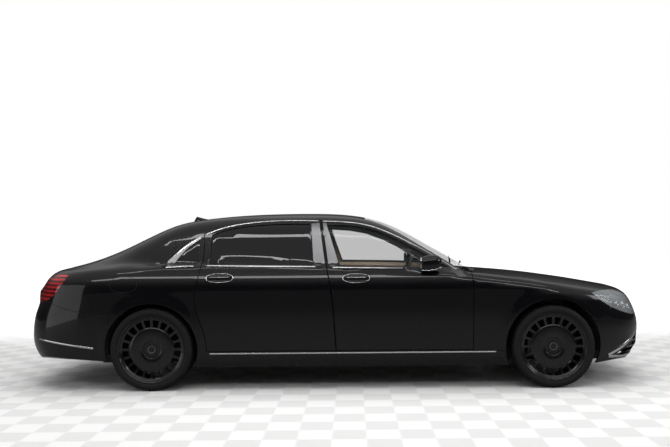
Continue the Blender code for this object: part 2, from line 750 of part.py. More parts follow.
DECK_END_SHARES = ((-0.433, 0.658), (-0.48, 0.674))
# Lines from the front or the back: a share of the half width and a share of the height.
LAMP_TOP_NOSE_SHARES = ((0.592, 0.499), (0.54, 0.503), (0.479, 0.502))
BONNET_NOSE_SHARES = ((0.479, 0.502), (0.421, 0.511), (0.211, 0.516), (0.0, 0.517))
LAMP_FOOT_NOSE_SHARES = ((0.704, 0.391), (0.632, 0.392), (0.558, 0.401), (0.495, 0.424))
LAMP_INNER_SHARES = ((0.495, 0.424), (0.479, 0.461), (0.479, 0.502))
NOSE_FOOT_SHARES = ((0.0, 0.125), (0.3, 0.125), (0.6, 0.127))
GRILLE_SHARES = ((0.0, 0.292), (0.3, 0.292), (0.40, 0.31), (0.425, 0.40), (0.415, 0.49), (0.38, 0.5), (0.0, 0.505))
INTAKE_SHARES = ((0.5, 0.165), (0.5, 0.27), (0.56, 0.285), (0.66, 0.265), (0.76, 0.215), (0.83, 0.165))
DECK_BACK_SHARES = ((0.727, 0.628), (0.695, 0.601), (0.685, 0.548), (0.679, 0.491))
TAIL_LAMP_FOOT_SHARES = ((0.861, 0.503), (0.779, 0.494), (0.679, 0.491))
DECK_FOOT_SHARES = ((0.679, 0.491), (0.632, 0.471), (0.421, 0.468), (0.0, 0.468))
TAIL_FOOT_SHARES = ((0.0, 0.16), (0.4, 0.16), (0.7, 0.165))


# Panels: their thicknesses, and how far apart their points lie.
SHEET = 0.008
ROOF_THICKNESS = 0.032
LID_THICKNESS = 0.02
GLASS_THICKNESS = 0.005
SCREEN_THICKNESS = 0.006
BUMPER_THICKNESS = 0.012
LAMP_THICKNESS = 0.05
LAMP_DRAFT = 0.012
DOOR_FRAME = 0.038
DOOR_DEPTH = 0.15
DOOR_INNER_Y = HALF_WIDTH - DOOR_DEPTH
DOOR_DRAFT = 0.016
GLASS_SINK = 0.006
PANEL_SPACING = (0.16, 0.11)
LID_SPACING = (0.2, 0.17)
SCREEN_SPACING = (0.18, 0.14)
AXIS_HEIGHT_SHARE = 0.4
AXIS_WIDTH_SHARE = 0.32
NOSE_CENTRE_SHARE = 0.98
TAIL_CENTRE_SHARE = -0.17
DECK_CENTRE_SHARE = -0.55
DECK_CENTRE_HEIGHT_SHARE = 0.45

side_chart = Chart("side")
top_chart = Chart("top")
axis_place = (HALF_WIDTH * AXIS_WIDTH_SHARE, HEIGHT * AXIS_HEIGHT_SHARE)
round_chart = Chart("round x", axis_place, math.radians(40), HALF_WIDTH * 0.6)
nose_chart = Chart("round z", (float(along(NOSE_CENTRE_SHARE)), 0), 0, HALF_WIDTH)
tail_chart = Chart("round z", (float(along(TAIL_CENTRE_SHARE)), 0), math.pi, HALF_WIDTH)
deck_place = (float(along(DECK_CENTRE_SHARE)), HEIGHT * DECK_CENTRE_HEIGHT_SHARE)
deck_chart = Chart("round y", deck_place, math.radians(120), HALF_WIDTH * 0.45)

sill_foot_z = SILL_FOOT_SHARE * HEIGHT
sill_top_z = FENDER_FOOT_SHARES[0][1] * HEIGHT
split_z = FENDER_SPLIT_SHARES[-1][1] * HEIGHT
quarter_z = QUARTER_SPLIT_SHARES[-1][1] * HEIGHT
nose_foot_z = NOSE_FOOT_SHARES[-1][1] * HEIGHT
tail_foot_z = TAIL_FOOT_SHARES[-1][1] * HEIGHT

door_front = drawn("side", DOOR_FRONT_SHARES)
door_split = drawn("side", DOOR_SPLIT_SHARES)
door_rear = drawn("side", DOOR_REAR_SHARES)
rear_door_top = drawn("side", REAR_DOOR_TOP_SHARES)
front_door_top = drawn("side", FRONT_DOOR_TOP_SHARES)
rear_door_foot = drawn("side", REAR_DOOR_FOOT_SHARES, EDGE_STEP * 3)
front_door_foot = drawn("side", FRONT_DOOR_FOOT_SHARES, EDGE_STEP * 3)
lamp_top = chain(drawn("side", LAMP_TOP_SHARES), drawn("nose", LAMP_TOP_NOSE_SHARES))
lamp_tip = drawn("side", LAMP_TIP_SHARES)
lamp_rear = drawn("side", LAMP_REAR_SHARES)
lamp_foot = chain(drawn("side", LAMP_FOOT_SHARES), drawn("nose", LAMP_FOOT_NOSE_SHARES))
lamp_inner = drawn("nose", LAMP_INNER_SHARES)
fender_split = drawn("side", FENDER_SPLIT_SHARES)
fender_foot = drawn("side", FENDER_FOOT_SHARES)
quarter_split = drawn("side", QUARTER_SPLIT_SHARES)
screen_side = drawn("top", SCREEN_SIDE_SHARES)
screen_top = drawn("top", SCREEN_TOP_SHARES)
screen_foot = drawn("top", SCREEN_FOOT_SHARES)
roof_side = drawn("top", ROOF_SIDE_SHARES, EDGE_STEP * 1.5)
back_side = drawn("top", BACK_SIDE_SHARES)
back_top = drawn("top", BACK_TOP_SHARES)
back_foot = drawn("top", BACK_FOOT_SHARES)
bonnet_rear = drawn("top", BONNET_REAR_SHARES)
bonnet_side = drawn("top", BONNET_SIDE_SHARES, EDGE_STEP * 1.5)
bonnet_nose = drawn("nose", BONNET_NOSE_SHARES)
cowl_end = drawn("top", COWL_END_SHARES)
pillar_foot = drawn("top", PILLAR_FOOT_SHARES)
deck_front = drawn("top", DECK_FRONT_SHARES)
deck_side = drawn("top", DECK_SIDE_SHARES)
deck_end = drawn("top", DECK_END_SHARES)
deck_back = drawn("tail", DECK_BACK_SHARES)
deck_foot = drawn("tail", DECK_FOOT_SHARES)
tail_lamp_top = drawn("top", TAIL_LAMP_TOP_SHARES)
tail_lamp_front = drawn("side", TAIL_LAMP_FRONT_SHARES)
tail_lamp_foot = drawn("tail", TAIL_LAMP_FOOT_SHARES)
nose_foot = drawn("nose", NOSE_FOOT_SHARES)
tail_foot = drawn("tail", TAIL_FOOT_SHARES)

# Each wheel arch in runs, as the sill, the fender, the quarter and the bumpers share it.
front_radius, rear_radius = FRONT_ARCH_RADIUS, REAR_ARCH_RADIUS
front_sill_angle, front_top_angle = behind(front_radius, sill_foot_z), behind(front_radius, sill_top_z)
front_split_angle, front_end_angle = before(front_radius, split_z), before(front_radius, nose_foot_z)
rear_split_angle, rear_end_angle = behind(rear_radius, quarter_z), behind(rear_radius, tail_foot_z)
arch_sill = arch_line(FRONT_AXLE_X, front_radius, front_sill_angle, front_top_angle)
arch_fender = arch_line(FRONT_AXLE_X, front_radius, front_top_angle, front_split_angle)
arch_nose = arch_line(FRONT_AXLE_X, front_radius, front_split_angle, front_end_angle)
arch_tail = arch_line(REAR_AXLE_X, rear_radius, rear_split_angle, rear_end_angle)
arch_quarter = arch_line(REAR_AXLE_X, rear_radius, rear_split_angle, before(rear_radius, sill_foot_z))
sill_ends = np.linspace(arch_quarter[-1, 0], arch_sill[0, 0], 9)
sill_foot = on_skin("side", sill_ends, np.full(9, sill_foot_z))
fender_foot[-1] = arch_fender[0]
fender_split[-1] = arch_nose[0]
quarter_split[-1] = arch_tail[0]
pillar_foot[0] = front_door_top[-1]


def halves(*lines):
    """A loop over both sides, from lines of the left half that run from the middle to the middle."""
    half = chain(*lines)
    return joined(half, across(half)) if abs(half[0, 1]) < PROBE and abs(half[-1, 1]) < PROBE else half


side_loop = joined(
    sill_foot,
    arch_sill,
    fender_foot[::-1],
    front_door_foot,
    rear_door_foot,
    door_rear,
    rear_door_top,
    front_door_top,
    pillar_foot,
    cowl_end,
    screen_side,
    roof_side,
    back_side,
    deck_end,
    deck_side,
    tail_lamp_top[::-1],
    tail_lamp_front,
    quarter_split,
    arch_quarter,
)
fender_loop = joined(
    fender_foot,
    arch_fender,
    fender_split[::-1],
    lamp_rear[::-1],
    lamp_tip,
    bonnet_side[::-1],
    pillar_foot[::-1],
    door_front[::-1],
)
bonnet_loop = halves(bonnet_rear[::-1], bonnet_side, lamp_top, bonnet_nose)
nose_loop = halves(
    bonnet_nose[::-1], lamp_inner[::-1], lamp_foot[::-1], fender_split, arch_nose, nose_foot[::-1]
)
tail_loop = halves(deck_foot[::-1], tail_lamp_foot[::-1], quarter_split, arch_tail, tail_foot[::-1])
deck_loop = halves(deck_front[::-1], deck_side, deck_back, deck_foot)
roof_loop = halves(screen_top[::-1], roof_side, back_top)
screen_loop = halves(screen_foot[::-1], screen_side, screen_top)
back_loop = halves(back_top[::-1], back_side, back_foot)
lamp_loop = joined(lamp_rear, lamp_foot, lamp_inner, lamp_top[::-1], lamp_tip[::-1])
tail_lamp_loop = joined(tail_lamp_front, tail_lamp_foot, deck_back[::-1], tail_lamp_top[::-1])
rear_door_loop = joined(door_rear, rear_door_top, door_split[::-1], rear_door_foot)
front_door_loop = joined(door_split, front_door_top, door_front[::-1], front_door_foot)
front_window = joined(
    drawn("side", FRONT_WINDOW_TOP_SHARES),
    drawn("side", FRONT_WINDOW_SILL_SHARES, EDGE_STEP * 2),
    drawn("side", FRONT_WINDOW_POST_SHARES, EDGE_STEP * 2),
)
rear_window = joined(
    drawn("side", REAR_WINDOW_TOP_SHARES),
    drawn("side", REAR_WINDOW_POST_SHARES, EDGE_STEP * 2),
    drawn("side", REAR_WINDOW_SILL_SHARES, EDGE_STEP * 2),
    drawn("side", REAR_WINDOW_BAR_SHARES, EDGE_STEP * 2),
)
quarter_window = np.concatenate([on_skin("side", along([a]), np.array([b * HEIGHT])) for a, b in QUARTER_WINDOW_SHARES])
grille_hole = halves(np.concatenate([on_skin("nose", np.array([a * HALF_WIDTH]), np.array([b * HEIGHT])) for a, b in GRILLE_SHARES]))
intake_hole = np.concatenate([on_skin("nose", np.array([a * HALF_WIDTH]), np.array([b * HEIGHT])) for a, b in INTAKE_SHARES])

COWL_PANEL_SHARE = 0.555
SCUTTLE_GAP = 0.008
seam = SEAT_GAP


def middle_part(line, half):
    """The part of a line that lies within a half width, with its end moved to that half width."""
    y = line[:, 1]
    order = np.argsort(y)
    end = [np.interp(half, y[order], line[order, i]) for i in range(3)]
    kept = line[y < half - PROBE * 5]
    return np.concatenate([kept, [end]]) if y[0] < y[-1] else np.concatenate([[end], kept])


cowl_half = HALF_WIDTH * COWL_PANEL_SHARE
cowl_front = middle_part(bonnet_rear[::-1], cowl_half)
cowl_back = middle_part(screen_foot[::-1], cowl_half)
cowl_front[:, 0] -= SCUTTLE_GAP
cowl_back[:, 0] += seam * 2
cowl_loop = halves(cowl_back, cowl_front[::-1])
cowl_panel = plate(top_chart, cowl_loop, SCREEN_THICKNESS, SCREEN_SPACING)
body_side = plate(round_chart, inset(side_loop, seam), SHEET, PANEL_SPACING, [quarter_window])
fender = plate(round_chart, inset(fender_loop, seam), SHEET, PANEL_SPACING)
roof = plate(top_chart, inset(roof_loop, seam), ROOF_THICKNESS, LID_SPACING)
windscreen = plate(top_chart, inset(screen_loop, seam), SCREEN_THICKNESS, SCREEN_SPACING)
rear_screen = plate(top_chart, inset(back_loop, seam), SCREEN_THICKNESS, SCREEN_SPACING)
front_bumper = plate(
    nose_chart,
    inset(nose_loop, seam),
    BUMPER_THICKNESS,
    PANEL_SPACING,
    [grille_hole, intake_hole, across(intake_hole)],
)
rear_bumper = plate(tail_chart, inset(tail_loop, seam), BUMPER_THICKNESS, PANEL_SPACING)
bonnet = plate(top_chart, inset(bonnet_loop, SHUT_GAP), LID_THICKNESS, LID_SPACING)
boot_lid = plate(deck_chart, inset(deck_loop, SHUT_GAP), LID_THICKNESS, LID_SPACING)
headlamp = plate(nose_chart, inset(lamp_loop, seam), LAMP_THICKNESS, PANEL_SPACING, draft=LAMP_DRAFT)
tail_lamp = plate(tail_chart, inset(tail_lamp_loop, seam), LAMP_THICKNESS, PANEL_SPACING, draft=LAMP_DRAFT)
door_panels = []
for loop, window in ((front_door_loop, front_window), (rear_door_loop, rear_window)):
    door = plate(
        side_chart,
        inset(loop, SHUT_GAP),
        DOOR_FRAME,
        PANEL_SPACING,
        [window],
        draft=DOOR_DRAFT,
        floor_y=DOOR_INNER_Y,
    )
    pane = plate(side_chart, inset(window, PANE_GAP), GLASS_THICKNESS, PANEL_SPACING, sink=GLASS_SINK, straight=True)
    door_panels.append((door, pane))
quarter_pane = plate(
    round_chart, inset(quarter_window, PANE_GAP), GLASS_THICKNESS, PANEL_SPACING, straight=True
)

# The frame behind the doors: hinge post, centre post, sill beam and roof rail in one pressing.
FRAME_SHARES = (
    (0.122, 0.17),
    (0.831, 0.17),
    (0.831, 0.60),
    (0.79, 0.643),
    (0.735, 0.72),
    (0.682, 0.792),
    (0.638, 0.845),
    (0.602, 0.886),
    (0.55, 0.929),
    (0.49, 0.949),
    (0.355, 0.960),
    (0.237, 0.952),
    (0.148, 0.917),
    (0.103, 0.87),
    (0.088, 0.70),
    (0.091, 0.58),
    (0.098, 0.44),
    (0.12, 0.30),
)
FRONT_OPENING_SHARES = (
    (0.778, 0.24),
    (0.784, 0.60),
    (0.745, 0.66),
    (0.674, 0.762),
    (0.638, 0.806),
    (0.596, 0.853),
    (0.546, 0.893),
    (0.495, 0.915),
    (0.439, 0.924),
    (0.454, 0.688),
    (0.468, 0.568),
    (0.477, 0.24),
)
REAR_OPENING_SHARES = (
    (0.43, 0.24),
    (0.424, 0.568),
    (0.415, 0.688),
    (0.4, 0.926),
    (0.347, 0.93),
    (0.243, 0.92),
    (0.163, 0.886),
    (0.139, 0.86),
    (0.137, 0.70),
    (0.136, 0.53),
    (0.145, 0.40),
    (0.157, 0.30),
    (0.157, 0.24),
)
FRAME_THICKNESS = 0.03
FRAME_CLEARANCE = 0.009
FRAME_DEPTH = 0.186
FRAME_Y = HALF_WIDTH - FRAME_DEPTH


def points_on(view, shares, wide=HALF_WIDTH):
    a, b = (np.array(row, float) for row in zip(*shares))
    return on_skin(view, along(a) if view == "side" else a * wide, b * HEIGHT)


frame_side = plate(
    side_chart,
    points_on("side", FRAME_SHARES),
    FRAME_THICKNESS,
    LID_SPACING,
    [points_on("side", FRONT_OPENING_SHARES), points_on("side", REAR_OPENING_SHARES)],
    sink=DOOR_FRAME + FRAME_CLEARANCE,
    cap_y=FRAME_Y,
)

# Floor, firewall, boot floor and wheel housings.
FLOOR_SHARE = 0.1503
BOOT_FLOOR_SHARE = 0.2806
SHELF_SHARE = 0.6045
FIREWALL_TOP_SHARE = 0.5578
RADIATOR_LOW_SHARE = 0.2004
RADIATOR_HIGH_SHARE = 0.5043
RAIL_RISE_SHARE = 0.147
BOOT_HALF_SHARE = 0.6472
RAIL_SHARE = 0.4775
COWL_SHARE = 0.5623
FIREWALL_STATION_SHARE = 0.8312
HEEL_STATION_SHARE = 0.1278
SEAT_BACK_STATION_SHARE = 0.0892
BOOT_END_STATION_SHARE = -0.8226
RAIL_END_STATION_SHARE = 1.6572
FLOOR_THICKNESS = 0.03
TOE_LENGTH = 0.17
RAIL_WIDTH = 0.04
RAIL_HEIGHT = 0.1
FLOOR_Z = HEIGHT * FLOOR_SHARE
BOOT_FLOOR_Z = HEIGHT * BOOT_FLOOR_SHARE
SHELF_Z = HEIGHT * SHELF_SHARE
FIREWALL_TOP = HEIGHT * FIREWALL_TOP_SHARE
RADIATOR_LOW = HEIGHT * RADIATOR_LOW_SHARE
RADIATOR_HIGH = HEIGHT * RADIATOR_HIGH_SHARE
RAIL_Z = HUB_Z + HEIGHT * RAIL_RISE_SHARE
FLOOR_HALF = FRAME_Y - FRAME_THICKNESS / 2
BOOT_HALF = HALF_WIDTH * BOOT_HALF_SHARE
RAIL_Y = HALF_WIDTH * RAIL_SHARE
FIREWALL_X = float(along(FIREWALL_STATION_SHARE))
TOE_X = FIREWALL_X - TOE_LENGTH
HEEL_X = float(along(HEEL_STATION_SHARE))
SEAT_BACK_X = float(along(SEAT_BACK_STATION_SHARE))
BOOT_END_X = float(along(BOOT_END_STATION_SHARE))
RAIL_END_X = float(along(RAIL_END_STATION_SHARE))
LINER_GAP = 0.008
LINER_THICKNESS = 0.006
LINER_END = 0.105
LINER_END_Y = HALF_WIDTH - LINER_END
LINER_STEPS = 12
COWL_HALF = HALF_WIDTH * COWL_SHARE

wall = FLOOR_THICKNESS
floor_top = FLOOR_Z + wall
front_floor = [
    (FIREWALL_X, FIREWALL_TOP),
    (FIREWALL_X, FLOOR_Z * 2.6),
    (TOE_X, FLOOR_Z),
    (HEEL_X, FLOOR_Z),
    (HEEL_X, floor_top),
    (TOE_X - wall / 2, floor_top),
    (FIREWALL_X - wall, FLOOR_Z * 2.65),
    (FIREWALL_X - wall, FIREWALL_TOP),
]
back_floor = [
    (HEEL_X + wall * 2, FLOOR_Z + wall * 0.25),
    (HEEL_X, FLOOR_Z + wall * 0.25),
    (SEAT_BACK_X, BOOT_FLOOR_Z),
    (BOOT_END_X - wall, BOOT_FLOOR_Z),
    (BOOT_END_X - wall, BOOT_FLOOR_Z * 1.5),
    (BOOT_END_X, BOOT_FLOOR_Z * 1.5),
    (BOOT_END_X, BOOT_FLOOR_Z + wall),
    (SEAT_BACK_X + wall * 0.4, BOOT_FLOOR_Z + wall),
    (HEEL_X + wall * 0.8, FLOOR_Z + wall * 0.75),
    (HEEL_X + wall * 2, FLOOR_Z + wall * 0.75),
]
shelf = [
    (SEAT_BACK_X - wall, BOOT_FLOOR_Z + wall / 2),
    (SEAT_BACK_X, BOOT_FLOOR_Z + wall / 2),
    (SEAT_BACK_X, SHELF_Z),
    (SEAT_BACK_X - BOOT_HALF, SHELF_Z),
    (SEAT_BACK_X - BOOT_HALF, SHELF_Z - wall),
    (SEAT_BACK_X - wall, SHELF_Z - wall),
]
cowl = [
    (FIREWALL_X - wall, FIREWALL_TOP - wall),
    (FIREWALL_X, FIREWALL_TOP - wall),
    (FIREWALL_X + wall, SHELF_Z - wall / 2),
    (FIREWALL_X + wall, SHELF_Z),
    (FIREWALL_X - wall, SHELF_Z + wall / 2),
]
rail_low, rail_high = RAIL_Z - RAIL_HEIGHT / 2, RAIL_Z + RAIL_HEIGHT / 2


def liner(axle_x, radius, start_y):
    """A wheel housing: part of a ring over the tyre, from the body's inside out to the arch."""
    near, far = radius + LINER_GAP, radius + LINER_GAP + LINER_THICKNESS
    turn = [math.radians(-8) + math.radians(196) * k / LINER_STEPS for k in range(LINER_STEPS + 1)]
    ring = [(axle_x + far * math.cos(a), HUB_Z + far * math.sin(a)) for a in turn]
    ring += [(axle_x + near * math.cos(a), HUB_Z + near * math.sin(a)) for a in reversed(turn)]
    return profile_xz(ring, start_y, LINER_END_Y)


rail = box((FIREWALL_X - wall / 2, RAIL_Y - RAIL_WIDTH / 2, rail_low), (RAIL_END_X, RAIL_Y + RAIL_WIDTH / 2, rail_high))
radiator = box(
    (RAIL_END_X - wall, -RAIL_Y - RAIL_WIDTH / 2, RADIATOR_LOW),
    (RAIL_END_X + wall / 2, RAIL_Y + RAIL_WIDTH / 2, RADIATOR_HIGH),
)


def pad(panel, near, reach, shrink=0.6):
    """A block that carries a panel: it starts just under the panel's inner triangle nearest a point."""
    points, faces = panel
    best = None
    for face in faces:
        if len(face) != 3:
            continue
        corners = points[list(face)]
        facing = np.cross(corners[1] - corners[0], corners[2] - corners[0])
        facing = facing / np.linalg.norm(facing)
        middle = corners.mean(axis=0)
        if facing @ skin_normal(middle[None])[0] > 0:
            continue
        away = np.linalg.norm(middle - np.array(near))
        if best is None or away < best[0]:
            best = (away, corners, facing, middle)
    _, corners, facing, middle = best
    top = middle + (corners - middle) * shrink + facing * SEAT_GAP
    return facing_out(np.concatenate([top, top + facing * reach]), [(0, 1, 2), (5, 4, 3), (1, 0, 3, 4), (2, 1, 4, 5), (0, 2, 5, 3)])


rear_ring = REAR_ARCH_RADIUS + LINER_GAP + LINER_THICKNESS / 2
turn = [math.radians(180) * k / LINER_STEPS for k in range(LINER_STEPS + 1)]
wheel_house = [(REAR_AXLE_X + rear_ring * math.cos(a), max(HUB_Z + rear_ring * math.sin(a), BOOT_FLOOR_Z)) for a in turn]
left_bits = [
    frame_side,
    profile_xz(wheel_house, BOOT_HALF - LINER_THICKNESS * 1.5, BOOT_HALF - LINER_THICKNESS / 2),
    pad(body_side, (along(0.35), HALF_WIDTH * 0.65, HEIGHT * 0.96), DOOR_FRAME),
    pad(body_side, (along(0.25), HALF_WIDTH, HEIGHT * 0.17), FRAME_THICKNESS * 6),
    pad(body_side, (along(0.65), HALF_WIDTH, HEIGHT * 0.17), FRAME_THICKNESS * 6),
    pad(fender, (along(0.83), HALF_WIDTH, HEIGHT * 0.5), FRAME_THICKNESS * 6),
    rail,
    liner(FRONT_AXLE_X, FRONT_ARCH_RADIUS, RAIL_Y),
    liner(REAR_AXLE_X, REAR_ARCH_RADIUS, BOOT_HALF - LINER_THICKNESS),
]

# Door hinges: an arm from the post into a pocket of the door, with its pin on the hinge axis.
HINGE_BACK = 0.085
HINGE_INSET = 0.022
HINGE_RADIUS = 0.007
HINGE_HALF = 0.03
HINGE_ARM = 0.01
HINGE_HEIGHT_SHARES = (0.36, 0.54)
POCKET_MARGIN = 0.03
DOOR_SKIN = 0.005
hinge_y = HALF_WIDTH - HINGE_INSET
hinge_xs = (float(door_front[:, 0].max()) - HINGE_BACK, float(door_split[3, 0]) - HINGE_BACK)


def hinge_arm(x, z):
    """The fixed half of a hinge: a knuckle on the axis and an arm back in to the post."""
    knuckle = rod((x, hinge_y, z - HINGE_HALF), (x, hinge_y, z + HINGE_HALF), HINGE_RADIUS)
    reach = hinge_y - FRAME_Y + FRAME_THICKNESS / 2
    end = (x + reach * 0.5, hinge_y - reach, z)
    arm = swept([(x, hinge_y, z), end], flat_section(HINGE_ARM, HINGE_HALF * 2 - HINGE_ARM / 5))
    return knuckle, arm


def hinge_pocket(x, z):
    half = HINGE_HALF + SEAT_GAP
    low = (x - POCKET_MARGIN, DOOR_INNER_Y - OVERRUN * 2, z - half)
    return box(low, (x + HINGE_BACK + OVERRUN * 3, HALF_WIDTH - DOOR_SKIN * 2.4, z + half))


for x in hinge_xs:
    for share in HINGE_HEIGHT_SHARES:
        left_bits += hinge_arm(x, share * HEIGHT)

# The lids' hinges: a pin on the axis, held by a bracket of the body, and a bent arm on the lid.
BONNET_HINGE_BACK = 0.19
BONNET_HINGE_SHARE = 0.6279
BOOT_HINGE_STATION_SHARE = -0.3378
BOOT_HINGE_SHARE = 0.688
LID_HINGE_SHARE = 0.6048
BONNET_HINGE_X = FIREWALL_X - BONNET_HINGE_BACK
BONNET_HINGE_Z = HEIGHT * BONNET_HINGE_SHARE
BOOT_HINGE_X = float(along(BOOT_HINGE_STATION_SHARE))
BOOT_HINGE_Z = HEIGHT * BOOT_HINGE_SHARE
LID_HINGE_Y = HALF_WIDTH * LID_HINGE_SHARE
ARM_WIDTH = 0.02
ARM_DEPTH = 0.016
PIN_RADIUS = 0.008
EYE_RADIUS = 0.016
BONNET_ARM_SHARES = ((0, 0), (0.1, -0.3), (0.45, -0.425), (0.85, -0.425), (1.0, -0.05), (1.18, 0.05))
BOOT_ARM_SHARES = ((0, 0), (-0.08, -0.65), (-0.6, -0.85), (-1.0, -0.6), (-1.1, 0.1))
BONNET_ARM_REACH = 0.2
BOOT_ARM_REACH = 0.2


def lid_arm(x, z, reach, shares):
    """A lid's bent arm, with an eye on the hinge axis."""
    path = np.array([(x + a * reach, LID_HINGE_Y, z + b * reach) for a, b in shares])
    first = path[1] - path[0]
    path[0] += first / np.linalg.norm(first) * (PIN_RADIUS + EYE_RADIUS) / 2
    arm = swept(path, flat_section(ARM_WIDTH, ARM_DEPTH))
    half = ARM_WIDTH * 0.6
    eye = turned(
        [(PIN_RADIUS + SEAT_GAP * 2, -half), (EYE_RADIUS, -half), (EYE_RADIUS, half), (PIN_RADIUS + SEAT_GAP * 2, half)],
        12,
        (x, LID_HINGE_Y, z),
    )
    return combined(arm, [eye])


def lid_pin(x, z, foot_x, foot_z):
    """A pin through the arm's eye, on a bracket beside it."""
    pin = rod((x, LID_HINGE_Y - ARM_WIDTH, z), (x, LID_HINGE_Y + ARM_WIDTH * 1.5, z), PIN_RADIUS)
    side = LID_HINGE_Y + ARM_WIDTH * 1.2
    bracket = swept([(x, side, z), (foot_x, side, foot_z)], flat_section(ARM_WIDTH * 0.6, EYE_RADIUS * 2))
    return pin, bracket


left_bits += lid_pin(BONNET_HINGE_X, BONNET_HINGE_Z, FIREWALL_X - wall / 2, FIREWALL_TOP - wall / 2)
left_bits += lid_pin(BOOT_HINGE_X, BOOT_HINGE_Z, SEAT_BACK_X - BOOT_HALF * 0.98, SHELF_Z - wall / 2)
tub = combined(
    profile_xz(front_floor, -FLOOR_HALF, FLOOR_HALF),
    [
        profile_xz(back_floor, -BOOT_HALF, BOOT_HALF),
        profile_xz(shelf, -BOOT_HALF, BOOT_HALF),
        profile_xz(cowl, -COWL_HALF, COWL_HALF),
        radiator,
        *[pad(cowl_panel, (FIREWALL_X, side * COWL_HALF * 0.6, SHELF_Z), RAIL_HEIGHT) for side in (-1, 1)],
        *[pad(front_bumper, (NOSE_X, side * HALF_WIDTH * 0.5, HEIGHT * 0.42), RAIL_HEIGHT * 3) for side in (-1, 1)],
        *[pad(rear_bumper, (TAIL_X, side * HALF_WIDTH * 0.5, HEIGHT * 0.38), RAIL_HEIGHT * 3) for side in (-1, 1)],
        *left_bits,
        *[mirrored(bit) for bit in left_bits],
    ],
)
bonnet_arm = lid_arm(BONNET_HINGE_X, BONNET_HINGE_Z, BONNET_ARM_REACH, BONNET_ARM_SHARES)
bonnet = combined(bonnet, [bonnet_arm, mirrored(bonnet_arm)])
boot_arm = lid_arm(BOOT_HINGE_X, BOOT_HINGE_Z, BOOT_ARM_REACH, BOOT_ARM_SHARES)
boot_lid = combined(boot_lid, [boot_arm, mirrored(boot_arm)])

# What stands out from the doors: a pull handle on each.
HANDLE_STATION_SHARES = (0.5102, 0.1715)
HANDLE_HEIGHT_SHARES = (0.6213, 0.628)
HANDLE_LENGTH = 0.22
HANDLE_REACH = 0.016
HANDLE_DEPTH = 0.012
HANDLE_HEIGHT = 0.022


def handle(share, rise):
    """A pull bar, both ends in the door's skin."""
    middle = on_skin("side", along([share]), np.array([rise * HEIGHT]))[0]
    reaches = ((-0.5, -HANDLE_DEPTH), (-0.38, HANDLE_REACH), (0, HANDLE_REACH), (0.38, HANDLE_REACH), (0.5, -HANDLE_DEPTH))
    path = [middle + (place * HANDLE_LENGTH, out, 0) for place, out in reaches]
    return swept(path, flat_section(HANDLE_DEPTH, HANDLE_HEIGHT))


doors = []
for (door, pane), x, share, rise in zip(door_panels, hinge_xs, HANDLE_STATION_SHARES, HANDLE_HEIGHT_SHARES):
    pockets = [hinge_pocket(x, at * HEIGHT) for at in HINGE_HEIGHT_SHARES]
    doors.append(combined(combined(door, pockets, "DIFFERENCE"), [handle(share, rise)]))

# Wheels.
TYRE_WALL = 0.091
RIM_RADIUS = TYRE_RADIUS - TYRE_WALL
FRONT_TYRE_WIDTH = 0.245
REAR_TYRE_WIDTH = 0.275
RIM_SIDES = 32
BRAKE_RADIUS = 0.175
BRAKE_THICKNESS = 0.025
WINDOWS = 20
DISC_RADIUS = 0.145
WINDOW_TOP = 0.226
WINDOW_BAR = 0.013
CAP_RADIUS = 0.035
RECESS_RADIUS = 0.0675
RECESS_DEPTH = 0.008
HUB_RADIUS = 0.06
SPINDLE_RADIUS = 0.028
DISH_SHARE = 0.74
FLANGE = 0.008
BARREL_WALL = 0.014
DISC_WALL = 0.03
FRONT_HUB_Y = FRONT_TRACK / 2
REAR_HUB_Y = REAR_TRACK / 2


def tyre_solid(width, centre):
    half, bead = width / 2, RIM_RADIUS + SEAT_GAP
    wall_radius = (TYRE_RADIUS + RIM_RADIUS) / 2
    side = [(bead, 0.86), (wall_radius, 1.0), (TYRE_RADIUS - FLANGE * 3, 0.97), (TYRE_RADIUS, 0.8)]
    profile = [(r, -share * half) for r, share in side] + [(r, share * half) for r, share in reversed(side)]
    return turned(profile, RIM_SIDES, centre)


